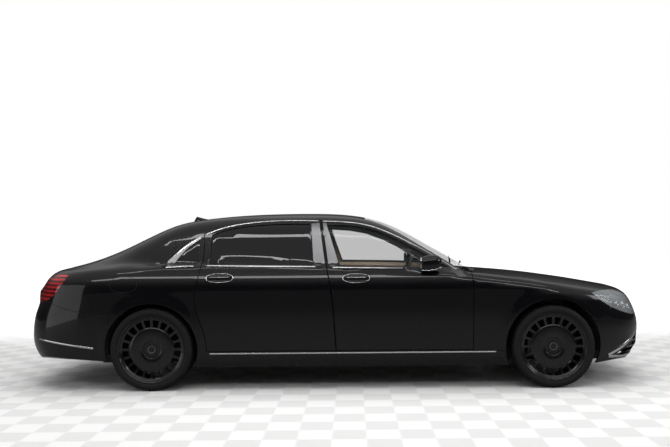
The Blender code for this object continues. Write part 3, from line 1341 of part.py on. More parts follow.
def rim_solid(width, centre):
    """The disc wheel: a barrel, a dished disc with a ring of windows, a hub and a plain cap."""
    half = width / 2
    face, lip = half * DISH_SHARE, half * 0.95
    flange, barrel = RIM_RADIUS + FLANGE, RIM_RADIUS - SEAT_GAP
    inside_radius = RIM_RADIUS - BARREL_WALL
    profile = [
        (0, face),
        (CAP_RADIUS, face),
        (RECESS_RADIUS, face - RECESS_DEPTH),
        (DISC_RADIUS, face),
        (inside_radius - FLANGE / 2, half * 0.84),
        (flange, lip),
        (barrel, half * 0.875),
        (barrel, -half * 0.9),
        (inside_radius, -half * 0.9),
        (inside_radius - FLANGE / 2, half * 0.5),
        (HUB_RADIUS * 1.4, face - DISC_WALL * 1.2),
        (HUB_RADIUS * 1.4, face - DISC_WALL * 2),
        (BRAKE_RADIUS, face - DISC_WALL * 2),
        (BRAKE_RADIUS, face - DISC_WALL * 2 - BRAKE_THICKNESS),
        (SPINDLE_RADIUS + SEAT_GAP * 2, face - DISC_WALL * 2 - BRAKE_THICKNESS),
        (SPINDLE_RADIUS + SEAT_GAP * 2, face - DISC_WALL),
        (0, face - DISC_WALL),
    ]
    body = turned(profile, RIM_SIDES, centre)
    window_points, window_faces = [], []
    for k in range(WINDOWS):
        angle = math.tau * (k + 0.5) / WINDOWS
        low_half = math.pi * DISC_RADIUS / WINDOWS - WINDOW_BAR / 2
        high_half = math.pi * WINDOW_TOP / WINDOWS - WINDOW_BAR / 2
        low_r = DISC_RADIUS + FLANGE
        corners = [(low_r, -low_half), (WINDOW_TOP, -high_half), (WINDOW_TOP, high_half), (low_r, low_half)]
        c, s = math.cos(angle), math.sin(angle)
        outline = [(r * c - w * s, r * s + w * c) for r, w in corners]
        points, faces = extruded([(z, x) for x, z in outline], face - DISC_WALL * 1.7, half * 2, "y")
        start = len(window_points) * 8
        window_points.append(points + np.array(centre, float))
        window_faces += [tuple(i + start for i in face) for face in faces]
    return combined(body, [(np.concatenate(window_points), window_faces)], "DIFFERENCE")


front_centre = (FRONT_AXLE_X, FRONT_HUB_Y, HUB_Z)
rear_centre = (REAR_AXLE_X, REAR_HUB_Y, HUB_Z)

# What carries the wheels: front uprights that steer on a subframe, and a rear subframe.
KINGPIN_INSET = 0.075
KINGPIN_Y = FRONT_HUB_Y - KINGPIN_INSET
KINGPIN_HALF = 0.13
ARM_THICKNESS = 0.022
BALL_RADIUS = 0.018
UPRIGHT_THICKNESS = 0.035
SUBFRAME_SHARE = 0.4987
SUBFRAME_HALF = HALF_WIDTH * SUBFRAME_SHARE
SUBFRAME_DROP = 0.11
SUBFRAME_Z = HUB_Z - SUBFRAME_DROP
SUBFRAME_HEIGHT = 0.06
SUBFRAME_LENGTH = 0.26


def spindle(centre, width, inner_y):
    face = width / 2 * DISH_SHARE
    end = centre[1] + face - DISC_WALL - SEAT_GAP
    return rod((centre[0], inner_y, centre[2]), (centre[0], end, centre[2]), SPINDLE_RADIUS, 16)


CALIPER_HALF = 0.05
CALIPER_GAP = 0.005
CALIPER_THICKNESS = 0.023
CALIPER_REACH = 0.045
PAD_THICKNESS = 0.0135


def caliper(centre, width, inner_y):
    """A brake caliper behind the axle: a block beside the disc, a bridge over its edge and an outer pad."""
    x, y, z = centre
    outer_face = y + width / 2 * DISH_SHARE - DISC_WALL * 2
    low_x = x - BRAKE_RADIUS - CALIPER_GAP * 1.4
    end_y = outer_face + CALIPER_GAP + PAD_THICKNESS
    inner_face = outer_face - BRAKE_THICKNESS - CALIPER_GAP
    return [
        box((low_x - CALIPER_THICKNESS, inner_y, z - CALIPER_HALF), (x, inner_face, z + CALIPER_HALF)),
        box((low_x - CALIPER_THICKNESS, inner_y, z - CALIPER_HALF), (low_x, end_y, z + CALIPER_HALF)),
        box(
            (low_x - CALIPER_THICKNESS, outer_face + CALIPER_GAP, z - CALIPER_HALF),
            (low_x + CALIPER_REACH, end_y, z + CALIPER_HALF),
        ),
    ]


low_ball, high_ball = HUB_Z - KINGPIN_HALF, HUB_Z + KINGPIN_HALF
arm_half = ARM_THICKNESS / 2
upright_low = low_ball + arm_half + SEAT_GAP
upright_high = high_ball - arm_half - SEAT_GAP
knuckle = combined(
    box(
        (FRONT_AXLE_X - UPRIGHT_THICKNESS, KINGPIN_Y - UPRIGHT_THICKNESS / 2, upright_low),
        (FRONT_AXLE_X + UPRIGHT_THICKNESS, KINGPIN_Y + UPRIGHT_THICKNESS / 2, upright_high),
    ),
    [
        spindle(front_centre, FRONT_TYRE_WIDTH, KINGPIN_Y),
        *caliper(front_centre, FRONT_TYRE_WIDTH, KINGPIN_Y),
        rod((FRONT_AXLE_X, KINGPIN_Y, upright_low + arm_half), (FRONT_AXLE_X, KINGPIN_Y, low_ball - arm_half), BALL_RADIUS / 2),
        rod((FRONT_AXLE_X, KINGPIN_Y, upright_high - arm_half), (FRONT_AXLE_X, KINGPIN_Y, high_ball + arm_half), BALL_RADIUS / 2),
    ],
)


def control_arm(z, foot_x, foot_y, centre_x, ball_y, hole=True):
    """A wishbone: two legs from the subframe to an eye at the wheel."""
    section = flat_section(ARM_THICKNESS * 1.4, ARM_THICKNESS)
    legs = [swept([(centre_x + side * foot_x, foot_y, z), (centre_x, ball_y, z)], section) for side in (-1, 1)]
    eye = rod((centre_x, ball_y, z - arm_half), (centre_x, ball_y, z + arm_half), BALL_RADIUS, 10)
    arm = combined(legs[0], [legs[1], eye])
    bore = rod((centre_x, ball_y, z - ARM_THICKNESS), (centre_x, ball_y, z + ARM_THICKNESS), BALL_RADIUS / 2 + SEAT_GAP * 3, 10)
    return combined(arm, [bore], "DIFFERENCE") if hole else arm


def subframe(axle_x, arms, extra):
    beam = box(
        (axle_x - SUBFRAME_LENGTH / 2, -SUBFRAME_HALF, SUBFRAME_Z - SUBFRAME_HEIGHT / 2),
        (axle_x + SUBFRAME_LENGTH / 2, SUBFRAME_HALF, SUBFRAME_Z + SUBFRAME_HEIGHT / 2),
    )
    left = [*arms, *extra]
    return combined(beam, [*left, *[mirrored(part) for part in left]])


def tower(axle_x, top_z):
    low = (axle_x - SUBFRAME_LENGTH / 3, SUBFRAME_HALF - RAIL_WIDTH, SUBFRAME_Z)
    return box(low, (axle_x + SUBFRAME_LENGTH / 3, SUBFRAME_HALF, top_z))


REAR_UPRIGHT_INSET = 0.09
REAR_ARM_RISE = 0.04
REAR_UPRIGHT_Y = REAR_HUB_Y - REAR_UPRIGHT_INSET
REAR_ARM_Z = HUB_Z + REAR_ARM_RISE
tower_y = SUBFRAME_HALF - RAIL_WIDTH / 2
low_foot = SUBFRAME_LENGTH / 2 - ARM_THICKNESS
front_arms = [
    control_arm(low_ball, low_foot, SUBFRAME_HALF - ARM_THICKNESS, FRONT_AXLE_X, KINGPIN_Y),
    control_arm(high_ball, SUBFRAME_LENGTH / 4, tower_y, FRONT_AXLE_X, KINGPIN_Y),
]
front_subframe = subframe(FRONT_AXLE_X, front_arms, [tower(FRONT_AXLE_X, rail_low - SEAT_GAP)])
rear_upright = box(
    (REAR_AXLE_X - UPRIGHT_THICKNESS, REAR_UPRIGHT_Y - UPRIGHT_THICKNESS / 2, low_ball - arm_half),
    (REAR_AXLE_X + UPRIGHT_THICKNESS, REAR_UPRIGHT_Y + UPRIGHT_THICKNESS / 2, REAR_ARM_Z + ARM_THICKNESS),
)
rear_arms = [
    control_arm(low_ball, low_foot, SUBFRAME_HALF - ARM_THICKNESS, REAR_AXLE_X, REAR_UPRIGHT_Y, False),
    control_arm(REAR_ARM_Z, SUBFRAME_LENGTH / 4, tower_y, REAR_AXLE_X, REAR_UPRIGHT_Y, False),
]
rear_subframe = subframe(
    REAR_AXLE_X,
    rear_arms,
    [
        tower(REAR_AXLE_X, BOOT_FLOOR_Z - SEAT_GAP),
        rear_upright,
        spindle(rear_centre, REAR_TYRE_WIDTH, REAR_UPRIGHT_Y),
        *caliper(rear_centre, REAR_TYRE_WIDTH, REAR_UPRIGHT_Y),
    ],
)

# The engine, on the front subframe, and the exhaust under the floor.
ENGINE_SHARE = 0.2865
ENGINE_TOP_SHARE = 0.521
ENGINE_LENGTH = 0.72
ENGINE_HALF = HALF_WIDTH * ENGINE_SHARE
ENGINE_TOP = HEIGHT * ENGINE_TOP_SHARE
ENGINE_FRONT_X = FRONT_AXLE_X + ENGINE_LENGTH / 2
ENGINE_REAR_X = FRONT_AXLE_X - ENGINE_LENGTH / 2
engine_foot = SUBFRAME_Z + SUBFRAME_HEIGHT / 2 + SEAT_GAP
engine = box((ENGINE_REAR_X, -ENGINE_HALF, engine_foot), (ENGINE_FRONT_X, ENGINE_HALF, ENGINE_TOP))
EXHAUST_DROP = 0.047
EXHAUST_RADIUS = 0.022
EXHAUST_SHARE = 0.2122
MUFFLER_SHARE = 0.4456
MUFFLER_HEIGHT = 0.2
MUFFLER_FRONT_STATION_SHARE = -0.38
MUFFLER_REAR_STATION_SHARE = -0.7213
EXHAUST_Z = FLOOR_Z - EXHAUST_DROP
EXHAUST_Y = HALF_WIDTH * EXHAUST_SHARE
MUFFLER_HALF = HALF_WIDTH * MUFFLER_SHARE
MUFFLER_FRONT_X = float(along(MUFFLER_FRONT_STATION_SHARE))
MUFFLER_REAR_X = float(along(MUFFLER_REAR_STATION_SHARE))
MUFFLER_LOW = BOOT_FLOOR_Z - MUFFLER_HEIGHT
hanger_top = FLOOR_Z - SEAT_GAP
exhaust_path = [
    (FIREWALL_X, EXHAUST_Y, EXHAUST_Z),
    (REAR_AXLE_X - SUBFRAME_LENGTH, EXHAUST_Y, EXHAUST_Z),
    (MUFFLER_FRONT_X - EXHAUST_RADIUS, EXHAUST_Y, (MUFFLER_LOW + BOOT_FLOOR_Z) / 2),
]
muffler = box((MUFFLER_REAR_X, -MUFFLER_HALF, MUFFLER_LOW), (MUFFLER_FRONT_X, MUFFLER_HALF, BOOT_FLOOR_Z - SEAT_GAP))
exhaust_bits = [swept(exhaust_path, round_section(EXHAUST_RADIUS, 12))]
for x in (TOE_X - EXHAUST_Y, HEEL_X + EXHAUST_Y):
    low = (x - EXHAUST_RADIUS, EXHAUST_Y - EXHAUST_RADIUS, EXHAUST_Z)
    exhaust_bits.append(box(low, (x + EXHAUST_RADIUS, EXHAUST_Y + EXHAUST_RADIUS, hanger_top)))
exhaust = combined(muffler, [*exhaust_bits, *[mirrored(part) for part in exhaust_bits]])

# The cabin: seats, dashboard and steering wheel.
SEAT_FOOT = floor_top + SEAT_GAP
SEAT_SHARE = 0.2759
SEAT_PLACE_SHARE = 0.3926
SEAT_STATION_SHARE = 0.4835
SEAT_RISE = 0.105
SEAT_ROUND = 0.03
CUSHION_HEIGHT = 0.14
CUSHION_LENGTH = 0.5
BACK_THICKNESS = 0.12
BACK_HEIGHT_SHARE = 0.4142
BACK_LEAN = 0.24
HEADREST_HEIGHT = 0.17
BENCH_SHARE = 0.7003
BENCH_AHEAD = 0.217
DASH_SHARE = 0.7427
DASH_STATION_SHARE = 0.70345
DASH_LOW_SHARE = 0.4409
DASH_HIGH_SHARE = 0.6079
CONSOLE_SHARE = 0.0955
CONSOLE_HIGH_SHARE = 0.3741
WHEEL_AHEAD = 0.16
WHEEL_RISE_SHARE = 0.6012
SEAT_HALF = HALF_WIDTH * SEAT_SHARE
SEAT_Y = HALF_WIDTH * SEAT_PLACE_SHARE
SEAT_X = float(along(SEAT_STATION_SHARE))
CUSHION_Z = floor_top + SEAT_RISE
BACK_HEIGHT = HEIGHT * BACK_HEIGHT_SHARE
BENCH_X = HEEL_X + BENCH_AHEAD
BENCH_HALF = HALF_WIDTH * BENCH_SHARE
DASH_X = float(along(DASH_STATION_SHARE))
DASH_HALF = HALF_WIDTH * DASH_SHARE
DASH_LOW = HEIGHT * DASH_LOW_SHARE
DASH_HIGH = HEIGHT * DASH_HIGH_SHARE
CONSOLE_HALF = HALF_WIDTH * CONSOLE_SHARE
CONSOLE_HIGH = HEIGHT * CONSOLE_HIGH_SHARE
WHEEL_CENTRE = (DASH_X - WHEEL_AHEAD, SEAT_Y, HEIGHT * WHEEL_RISE_SHARE)
WHEEL_RADIUS = 0.19
WHEEL_RIM = 0.015
WHEEL_TILT = math.radians(25)
WHEEL_HUB = 0.045
COLUMN_RADIUS = 0.025


def leant(solid, foot, angle):
    """The solid leant about a level line across the car through a foot point."""
    points, faces = solid
    x, z = points[:, 0] - foot[0], points[:, 2] - foot[1]
    c, s = math.cos(angle), math.sin(angle)
    return np.stack([foot[0] + x * c + z * s, points[:, 1], foot[1] - x * s + z * c], -1), faces


def seat(x, y, half, legs_half, rests, rest_half):
    """A seat or bench: a leg box, a cushion, a leaning back and its headrests."""
    top = CUSHION_Z + CUSHION_HEIGHT
    cushion = pulled_round((x - BACK_THICKNESS, y - half, CUSHION_Z), (x + CUSHION_LENGTH, y + half, top), SEAT_ROUND)
    low = (x - BACK_THICKNESS / 2, y - legs_half, SEAT_FOOT)
    legs = box(low, (x + CUSHION_LENGTH * 0.8, y + legs_half, CUSHION_Z + SEAT_ROUND))
    back_low = (x - BACK_THICKNESS, y - half, CUSHION_Z + SEAT_ROUND)
    back = pulled_round(back_low, (x, y + half, CUSHION_Z + BACK_HEIGHT), SEAT_ROUND)
    parts = [legs, leant(back, (x, top), -BACK_LEAN)]
    for place in rests:
        foot = CUSHION_Z + BACK_HEIGHT - SEAT_ROUND / 2
        rest = pulled_round(
            (x - BACK_THICKNESS * 0.85, y + place - rest_half * 0.5, foot),
            (x - BACK_THICKNESS * 0.1, y + place + rest_half * 0.5, foot + HEADREST_HEIGHT),
            SEAT_ROUND,
        )
        parts.append(leant(rest, (x, top), -BACK_LEAN))
    return combined(cushion, parts)


front_seat = seat(SEAT_X, SEAT_Y, SEAT_HALF, SEAT_HALF * 0.8, (0,), SEAT_HALF)
rear_seat = seat(BENCH_X, 0, BENCH_HALF, BENCH_HALF * 0.9, (-SEAT_Y, SEAT_Y), SEAT_HALF)
DASH_REACH = 0.2
dash_edge = DASH_X + DASH_REACH
dash_end = FIREWALL_X - wall * 2
dash_plan = [
    (DASH_X, -DASH_HALF),
    (dash_edge, -DASH_HALF),
    (dash_edge, -COWL_HALF),
    (dash_end, -COWL_HALF),
    (dash_end, COWL_HALF),
    (dash_edge, COWL_HALF),
    (dash_edge, DASH_HALF),
    (DASH_X, DASH_HALF),
]
console = box((SEAT_X - BACK_THICKNESS, -CONSOLE_HALF, SEAT_FOOT), (DASH_X + wall, CONSOLE_HALF, CONSOLE_HIGH))
console_rise = box((DASH_X - wall, -CONSOLE_HALF, SEAT_FOOT), (DASH_X + wall * 3, CONSOLE_HALF, DASH_LOW + wall))
column_end = np.array([DASH_X + wall, SEAT_Y, 0])
column_end[2] = WHEEL_CENTRE[2] - (column_end[0] - WHEEL_CENTRE[0]) * math.tan(WHEEL_TILT)
column_way = np.array([math.cos(WHEEL_TILT), 0, -math.sin(WHEEL_TILT)])
column_start = np.array(WHEEL_CENTRE) + column_way * (WHEEL_HUB + SEAT_GAP)
dashboard = combined(
    extruded(dash_plan, DASH_LOW, DASH_HIGH, "z"),
    [console, console_rise, swept([column_end, column_start], round_section(COLUMN_RADIUS, 16))],
)


def steering_wheel_solid():
    x, y, z = WHEEL_CENTRE
    section = round_section(WHEEL_RIM, 6)
    ring = turned([(WHEEL_RADIUS + a, b) for a, b in section], 24, WHEEL_CENTRE, "x")
    hub = turned([(0, -WHEEL_RIM), (WHEEL_HUB, -WHEEL_RIM), (WHEEL_HUB, WHEEL_RIM), (COLUMN_RADIUS, WHEEL_HUB), (0, WHEEL_HUB)], 16, WHEEL_CENTRE, "x")
    spokes = []
    for angle in (0, 180, 270):
        a = math.radians(angle)
        end = (x, y + WHEEL_RADIUS * math.cos(a), z + WHEEL_RADIUS * math.sin(a))
        wide = flat_section(WHEEL_RIM, WHEEL_RIM * 2) if angle != 270 else flat_section(WHEEL_RIM * 2, WHEEL_RIM)
        spokes.append(swept([(x, y, z), end], wide))
    return leant(combined(ring, [hub, *spokes]), (x, z), WHEEL_TILT)


# The grille: a frame in the bumper's opening, with a middle bar, upright bars and level bars.
GRILLE_DEPTH = 0.05
GRILLE_BORDER = 0.018
GRILLE_BAR = 0.008
GRILLE_BAR_DEPTH = 0.022
GRILLE_BAR_SET = 0.045
GRILLE_ROW_SHARES = (0.333, 0.367, 0.4, 0.433, 0.467)
grille_loop = inset(grille_hole, PANE_GAP)
grille_window = inset(grille_hole, PANE_GAP + GRILLE_BORDER)
grille_frame = plate(nose_chart, grille_loop, GRILLE_DEPTH, PANEL_SPACING, [grille_window], straight=True)
grille_bars = []
grille_side = grille_window[grille_window[:, 1] > grille_window[:, 1].max() * 0.9]
grille_side = grille_side[np.argsort(grille_side[:, 2])]
for share in GRILLE_ROW_SHARES:
    bar_x, bar_z = float(nose_line(share * HEIGHT)) - GRILLE_BAR_SET, share * HEIGHT
    span = float(np.interp(bar_z, grille_side[:, 2], grille_side[:, 1])) + GRILLE_BORDER / 2
    grille_bars.append(
        box((bar_x, -span, bar_z - GRILLE_BAR / 2), (bar_x + GRILLE_BAR_DEPTH, span, bar_z + GRILLE_BAR / 2))
    )
grille_frame = combined(grille_frame, grille_bars)
put_pair("body_side", body_side, PAINT, 0.2)
put_pair("fender", fender, PAINT, 0.2)
put("roof", roof, PAINT, 0.2)
put("windscreen", windscreen, GLASS, 0.05)
put("rear_screen", rear_screen, GLASS, 0.05)
put("front_bumper", front_bumper, PAINT, 0.2)
put("rear_bumper", rear_bumper, PAINT, 0.2)
put("bonnet", bonnet, PAINT, 0.2)
put("boot_lid", boot_lid, PAINT, 0.2)
put_pair("headlamp", headlamp, LAMP, 0.1)
put_pair("tail_lamp", tail_lamp, RED, 0.2)
for name, door, (_, pane) in zip(("front", "rear"), doors, door_panels):
    put_pair(name + "_door", door, PAINT, 0.2)
    put_pair(name + "_door_glass", pane, GLASS, 0.05)
put_pair("quarter_glass", quarter_pane, GLASS, 0.05)
put("tub", tub, TRIM, 0.6)
put("cowl_panel", cowl_panel, TRIM, 0.6)
put("grille", grille_frame, STEEL, 0.3, 1.0)
put("dashboard", dashboard, TRIM, 0.6)
put_pair("front_seat", front_seat, LEATHER, 0.6)
put("rear_seat", rear_seat, LEATHER, 0.6)
put("steering_wheel", steering_wheel_solid(), TRIM, 0.5, 0.0, WHEEL_CENTRE)
put("engine", engine, STEEL, 0.5, 1.0)
put("exhaust", exhaust, STEEL, 0.4, 1.0)
put("front_subframe", front_subframe, STEEL, 0.5, 1.0)
put("rear_subframe", rear_subframe, STEEL, 0.5, 1.0)
put_pair("knuckle", knuckle, STEEL, 0.5, 1.0, (FRONT_AXLE_X, KINGPIN_Y, HUB_Z))
for name, width, centre in (
    ("front", FRONT_TYRE_WIDTH, front_centre),
    ("rear", REAR_TYRE_WIDTH, rear_centre),
):
    put_pair("rim_" + name, rim_solid(width, centre), TRIM, 0.2, 0.5, centre)
    put_pair("tyre_" + name, tyre_solid(width, centre), RUBBER, 0.8, 0.0, centre)
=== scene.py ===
import math

import bmesh
import bpy
import numpy as np
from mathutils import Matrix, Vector
from mathutils.geometry import delaunay_2d_cdt


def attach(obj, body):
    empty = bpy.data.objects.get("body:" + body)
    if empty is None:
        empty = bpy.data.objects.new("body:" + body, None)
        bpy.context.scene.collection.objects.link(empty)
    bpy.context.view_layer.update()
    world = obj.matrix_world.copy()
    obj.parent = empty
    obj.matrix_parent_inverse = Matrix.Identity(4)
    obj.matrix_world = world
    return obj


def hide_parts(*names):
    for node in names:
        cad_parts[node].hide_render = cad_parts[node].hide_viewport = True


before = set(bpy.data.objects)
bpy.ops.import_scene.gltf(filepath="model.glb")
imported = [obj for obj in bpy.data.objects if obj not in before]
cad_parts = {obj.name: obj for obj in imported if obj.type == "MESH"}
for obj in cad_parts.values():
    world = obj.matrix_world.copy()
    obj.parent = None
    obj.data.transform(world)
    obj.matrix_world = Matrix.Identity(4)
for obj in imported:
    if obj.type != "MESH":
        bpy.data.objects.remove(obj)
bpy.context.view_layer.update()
collection = bpy.context.scene.collection

# The body's skin. The pressed steel and aluminium panels of a long sedan share one smooth surface,
# and every panel, pane and strip below is drawn on it. Sizes are in metres, +X is the nose.
LENGTH, HEIGHT, WHEELBASE, FRONT_OVERHANG, ARCH_FLARE = 5.462, 1.497, 3.365, 0.913, 0.007
HALF_WIDTH = 1.899 / 2 - ARCH_FLARE
NOSE_X, TAIL_X = LENGTH / 2, -LENGTH / 2
FRONT_AXLE_X = NOSE_X - FRONT_OVERHANG
REAR_AXLE_X = FRONT_AXLE_X - WHEELBASE
HUB_Z = 0.345
FRONT_ARCH, REAR_ARCH = 0.403, 0.386
ROOF_LINE = (
    (-0.594, 0.691), (-0.383, 0.777), (-0.171, 0.858), (0.014, 0.930), (0.103, 0.970), (0.222, 0.993),
    (0.388, 1.0), (0.497, 0.988), (0.608, 0.925), (0.697, 0.819), (0.787, 0.703), (0.846, 0.625),
)
DECK_LINE = (
    (-0.95, 0.640), (-0.805, 0.668), (-0.594, 0.690), (-0.383, 0.702), (-0.045, 0.700), (0.103, 0.695),
    (0.46, 0.677), (0.757, 0.659), (0.868, 0.645), (0.953, 0.630), (1.177, 0.603), (1.44, 0.578),
    (1.714, 0.548), (1.857, 0.528), (1.966, 0.500),
)
DECK_CROWN = ((-0.8, 0.028), (-0.383, 0.022), (0.0, 0.0), (0.7, 0.0), (0.868, 0.022), (1.177, 0.05), (1.857, 0.06))
SIDE_INSET = (
    (0.08, 0.12), (0.13, 0.062), (0.2, 0.030), (0.28, 0.014), (0.36, 0.004), (0.44, 0.0),
    (0.54, 0.001), (0.60, 0.006), (0.64, 0.022), (0.68, 0.047), (0.72, 0.085),
)
CABIN_PLAN = (
    (-0.594, 0.74), (-0.383, 0.80), (-0.171, 0.88), (0.0, 0.93), (0.103, 0.957), (0.4, 1.0),
    (0.6, 0.995), (0.757, 0.965), (0.846, 0.94),
)
NOSE_LINE = (
    (0.12, -0.11), (0.16, -0.06), (0.2, -0.012), (0.25, -0.004),
    (0.33, 0.0), (0.41, -0.035), (0.48, -0.09), (0.55, -0.15),
)
TAIL_LINE = (
    (0.14, 0.09), (0.18, 0.04), (0.24, 0.004), (0.33, 0.0),
    (0.42, 0.022), (0.5, 0.066), (0.6, 0.115), (0.68, 0.165),
)
# How the parts of the skin run together: how far an arch's flare reaches, where the nose and the tail
# begin to turn in and how squarely, the blends between flank, deck, cabin and roof, and their bows.
FLARE_REACH, NOSE_START, TAIL_START = 0.055, 0.906, -0.045
ACROSS_POWER, NOSE_POWER, TAIL_POWER = 3, 3.4, 5
SHOULDER_BLEND, CABIN_BLEND, ROOF_BLEND, ROOT_BLEND, ROOT_EXTRA = 0.045, 0.04, 0.1, 0.006, 0.154
DECK_BOW, SCREEN_BOW, BACK_BOW, ROOF_BOW, FRONT_FLAT, BACK_FLAT = 1.4, 0.2, 0.25, 0.1, 0.6, 0.5
BELT, CABIN_FOOT, CABIN_SHARE, CABIN_LEAN, CABIN_CURVE, CABIN_BEND = 0.681, 0.56, 0.911, 0.4, 0.3, 1.5
OVER_FRONT, OVER_REAR, ROOT_SPAN, SCREEN_SPAN = (0.72, 0.9), (-0.3, 0.05), (-0.25, 0.03), (0.45, 0.62)
BACK_SPAN, TAIL_STRETCH, LEAST_SLOPE = (0.1, 0.3), 1.2, 0.2
# How points are found and lines divided: from where and in what steps a point is cast on the skin,
# how near two points count as one, and how far apart the points of arches and panels lie.
SIDE_REACH, TOP_REACH, END_REACH, CAST_ROUNDS, CAST_SHARE, CAST_END = 1.9, 1.8, 3.28, 160, 0.6, 1e-8
PROBE, SAME_POINT, ARCH_STEP, EDGE_CLEAR, BACK_SPACING = 0.001, 0.002, 0.025, 0.4, 1.5


def along(share):
    """The x of a station: 0 is the rear axle, 1 the front axle, 2 the nose and -1 the tail."""
    share = np.asarray(share, float)
    between = REAR_AXLE_X + share * WHEELBASE
    ahead = FRONT_AXLE_X + (share - 1) * FRONT_OVERHANG
    behind = REAR_AXLE_X + share * (LENGTH - WHEELBASE - FRONT_OVERHANG)
    return np.where(share > 1, ahead, np.where(share < 0, behind, between))


def smooth_curve(points):
    """A natural cubic spline through (place, value) points, straight beyond its ends."""
    place, value = (np.array(row, float) for row in zip(*sorted(points)))
    count, span, rise = len(place), np.diff(place), np.diff(value)
    rows, right = np.eye(count), np.zeros(count)
    for i in range(1, count - 1):
        rows[i, i - 1 : i + 2] = span[i - 1], 2 * (span[i - 1] + span[i]), span[i]
        right[i] = 6 * (rise[i] / span[i] - rise[i - 1] / span[i - 1])
    bend = np.linalg.solve(rows, right)

    def at(x):
        x = np.asarray(x, float)
        within = np.clip(x, place[0], place[-1])
        i = np.clip(np.searchsorted(place, within) - 1, 0, count - 2)
        a, b, h = within - place[i], place[i + 1] - within, span[i]
        slope = rise[i] / h + ((3 * a * a - h * h) * bend[i + 1] - (3 * b * b - h * h) * bend[i]) / (6 * h)
        curve = (value[i] * b + value[i + 1] * a) / h
        curve += ((a**3 / h - a * h) * bend[i + 1] + (b**3 / h - b * h) * bend[i]) / 6
        return curve + slope * (x - within)

    return at


def heights(shares):
    return smooth_curve([(along(place), share * HEIGHT) for place, share in shares])


roof_line, deck_line = heights(ROOF_LINE), heights(DECK_LINE)
deck_crown = smooth_curve([(along(place), share * HALF_WIDTH) for place, share in DECK_CROWN])
side_inset = smooth_curve([(share * HEIGHT, inset * HALF_WIDTH) for share, inset in SIDE_INSET])
cabin_plan = smooth_curve([(along(place), share) for place, share in CABIN_PLAN])
nose_line = smooth_curve([(share * HEIGHT, NOSE_X + shift * FRONT_OVERHANG) for share, shift in NOSE_LINE])
tail_line = smooth_curve([(share * HEIGHT, TAIL_X + shift * HALF_WIDTH * TAIL_STRETCH) for share, shift in TAIL_LINE])


def step_between(x, start, end):
    t = np.clip((np.asarray(x, float) - start) / (end - start), 0, 1)
    return t * t * (3 - 2 * t)


def least(a, b, radius):
    near = np.maximum(radius - np.abs(a - b), 0) / radius
    return np.minimum(a, b) - near * near * radius / 4


def depth(point):
    """How deep a point lies under the skin. Above zero is inside the car."""
    x, y, z = point[..., 0], np.abs(point[..., 1]), point[..., 2]
    swell = 0
    for axle, radius in ((FRONT_AXLE_X, FRONT_ARCH), (REAR_AXLE_X, REAR_ARCH)):
        swell = swell + np.exp(-(((np.hypot(x - axle, z - HUB_Z) - radius) / FLARE_REACH) ** 2))
    half = HALF_WIDTH - side_inset(z) + ARCH_FLARE * swell
    nose, tail, nose_start, tail_start = nose_line(z), tail_line(z), along(NOSE_START), along(TAIL_START)
    ahead = np.maximum(x - nose_start, 0) / (nose - nose_start)
    behind = np.maximum(tail_start - x, 0) / (tail_start - tail)
    across = y / half
    value = 1 - across**ACROSS_POWER - ahead**NOSE_POWER - behind**TAIL_POWER
    slope_x = NOSE_POWER * ahead ** (NOSE_POWER - 1) / (nose - nose_start)
    slope_x = slope_x + TAIL_POWER * behind ** (TAIL_POWER - 1) / (tail_start - tail)
    slope_y = ACROSS_POWER * across ** (ACROSS_POWER - 1) / half
    side = value / np.maximum(np.hypot(slope_x, slope_y), LEAST_SLOPE / half)
    top = deck_line(x) - deck_crown(x) * (y / HALF_WIDTH) ** 2 * DECK_BOW - z
    over_cabin = step_between(x, *along(OVER_FRONT)) + 1 - step_between(x, *along(OVER_REAR))
    low = least(side, top, SHOULDER_BLEND + CABIN_BLEND * np.clip(over_cabin, 0, 1))
    above = np.maximum(z - BELT * HEIGHT, 0)
    wall = HALF_WIDTH * CABIN_SHARE * cabin_plan(x) - CABIN_LEAN * above
    wall = wall - CABIN_CURVE * above**2 / HEIGHT * CABIN_BEND
    front = step_between(x, *along(SCREEN_SPAN))
    back = 1 - step_between(x, *along(BACK_SPAN))
    bowed = x + (SCREEN_BOW * front - BACK_BOW * back) * y**2 / HALF_WIDTH
    lid = roof_line(bowed) - ROOF_BOW * y**2 / HALF_WIDTH * (1 - front * FRONT_FLAT - back * BACK_FLAT) - z
    cabin = np.minimum(least(wall - y, lid, ROOF_BLEND), z - CABIN_FOOT * HEIGHT)
    root = ROOT_BLEND + ROOT_EXTRA * (1 - step_between(x, *along(ROOT_SPAN)))
    return -least(-low, -cabin, root)


def cast(start, heading):
    """The first skin point that each ray meets."""
    travelled = np.zeros(len(start))
    for _ in range(CAST_ROUNDS):
        step = CAST_SHARE * depth(start + heading * travelled[:, None])
        travelled = travelled - step
        if np.abs(step).max() < CAST_END:
            break
    return start + heading * travelled[:, None]


def skin_normal(points):
    slopes = [depth(points + PROBE * axis) - depth(points - PROBE * axis) for axis in np.eye(3)]
    outward = -np.stack(slopes, axis=-1)
    return outward / np.linalg.norm(outward, axis=-1, keepdims=True)


def on_skin(view, a, b):
    """Skin points seen straight from the left side, the top, the nose or the tail."""
    a, b = np.asarray(a, float), np.asarray(b, float)
    zero = np.zeros(len(a))
    start, heading = {
        "side": ((a, zero + SIDE_REACH, b), (0, -1, 0)),
        "top": ((a, b, zero + TOP_REACH), (0, 0, -1)),
        "nose": ((zero + END_REACH, a, b), (-1, 0, 0)),
        "tail": ((zero - END_REACH, a, b), (1, 0, 0)),
    }[view]
    return cast(np.stack(start, -1), np.array(heading, float))


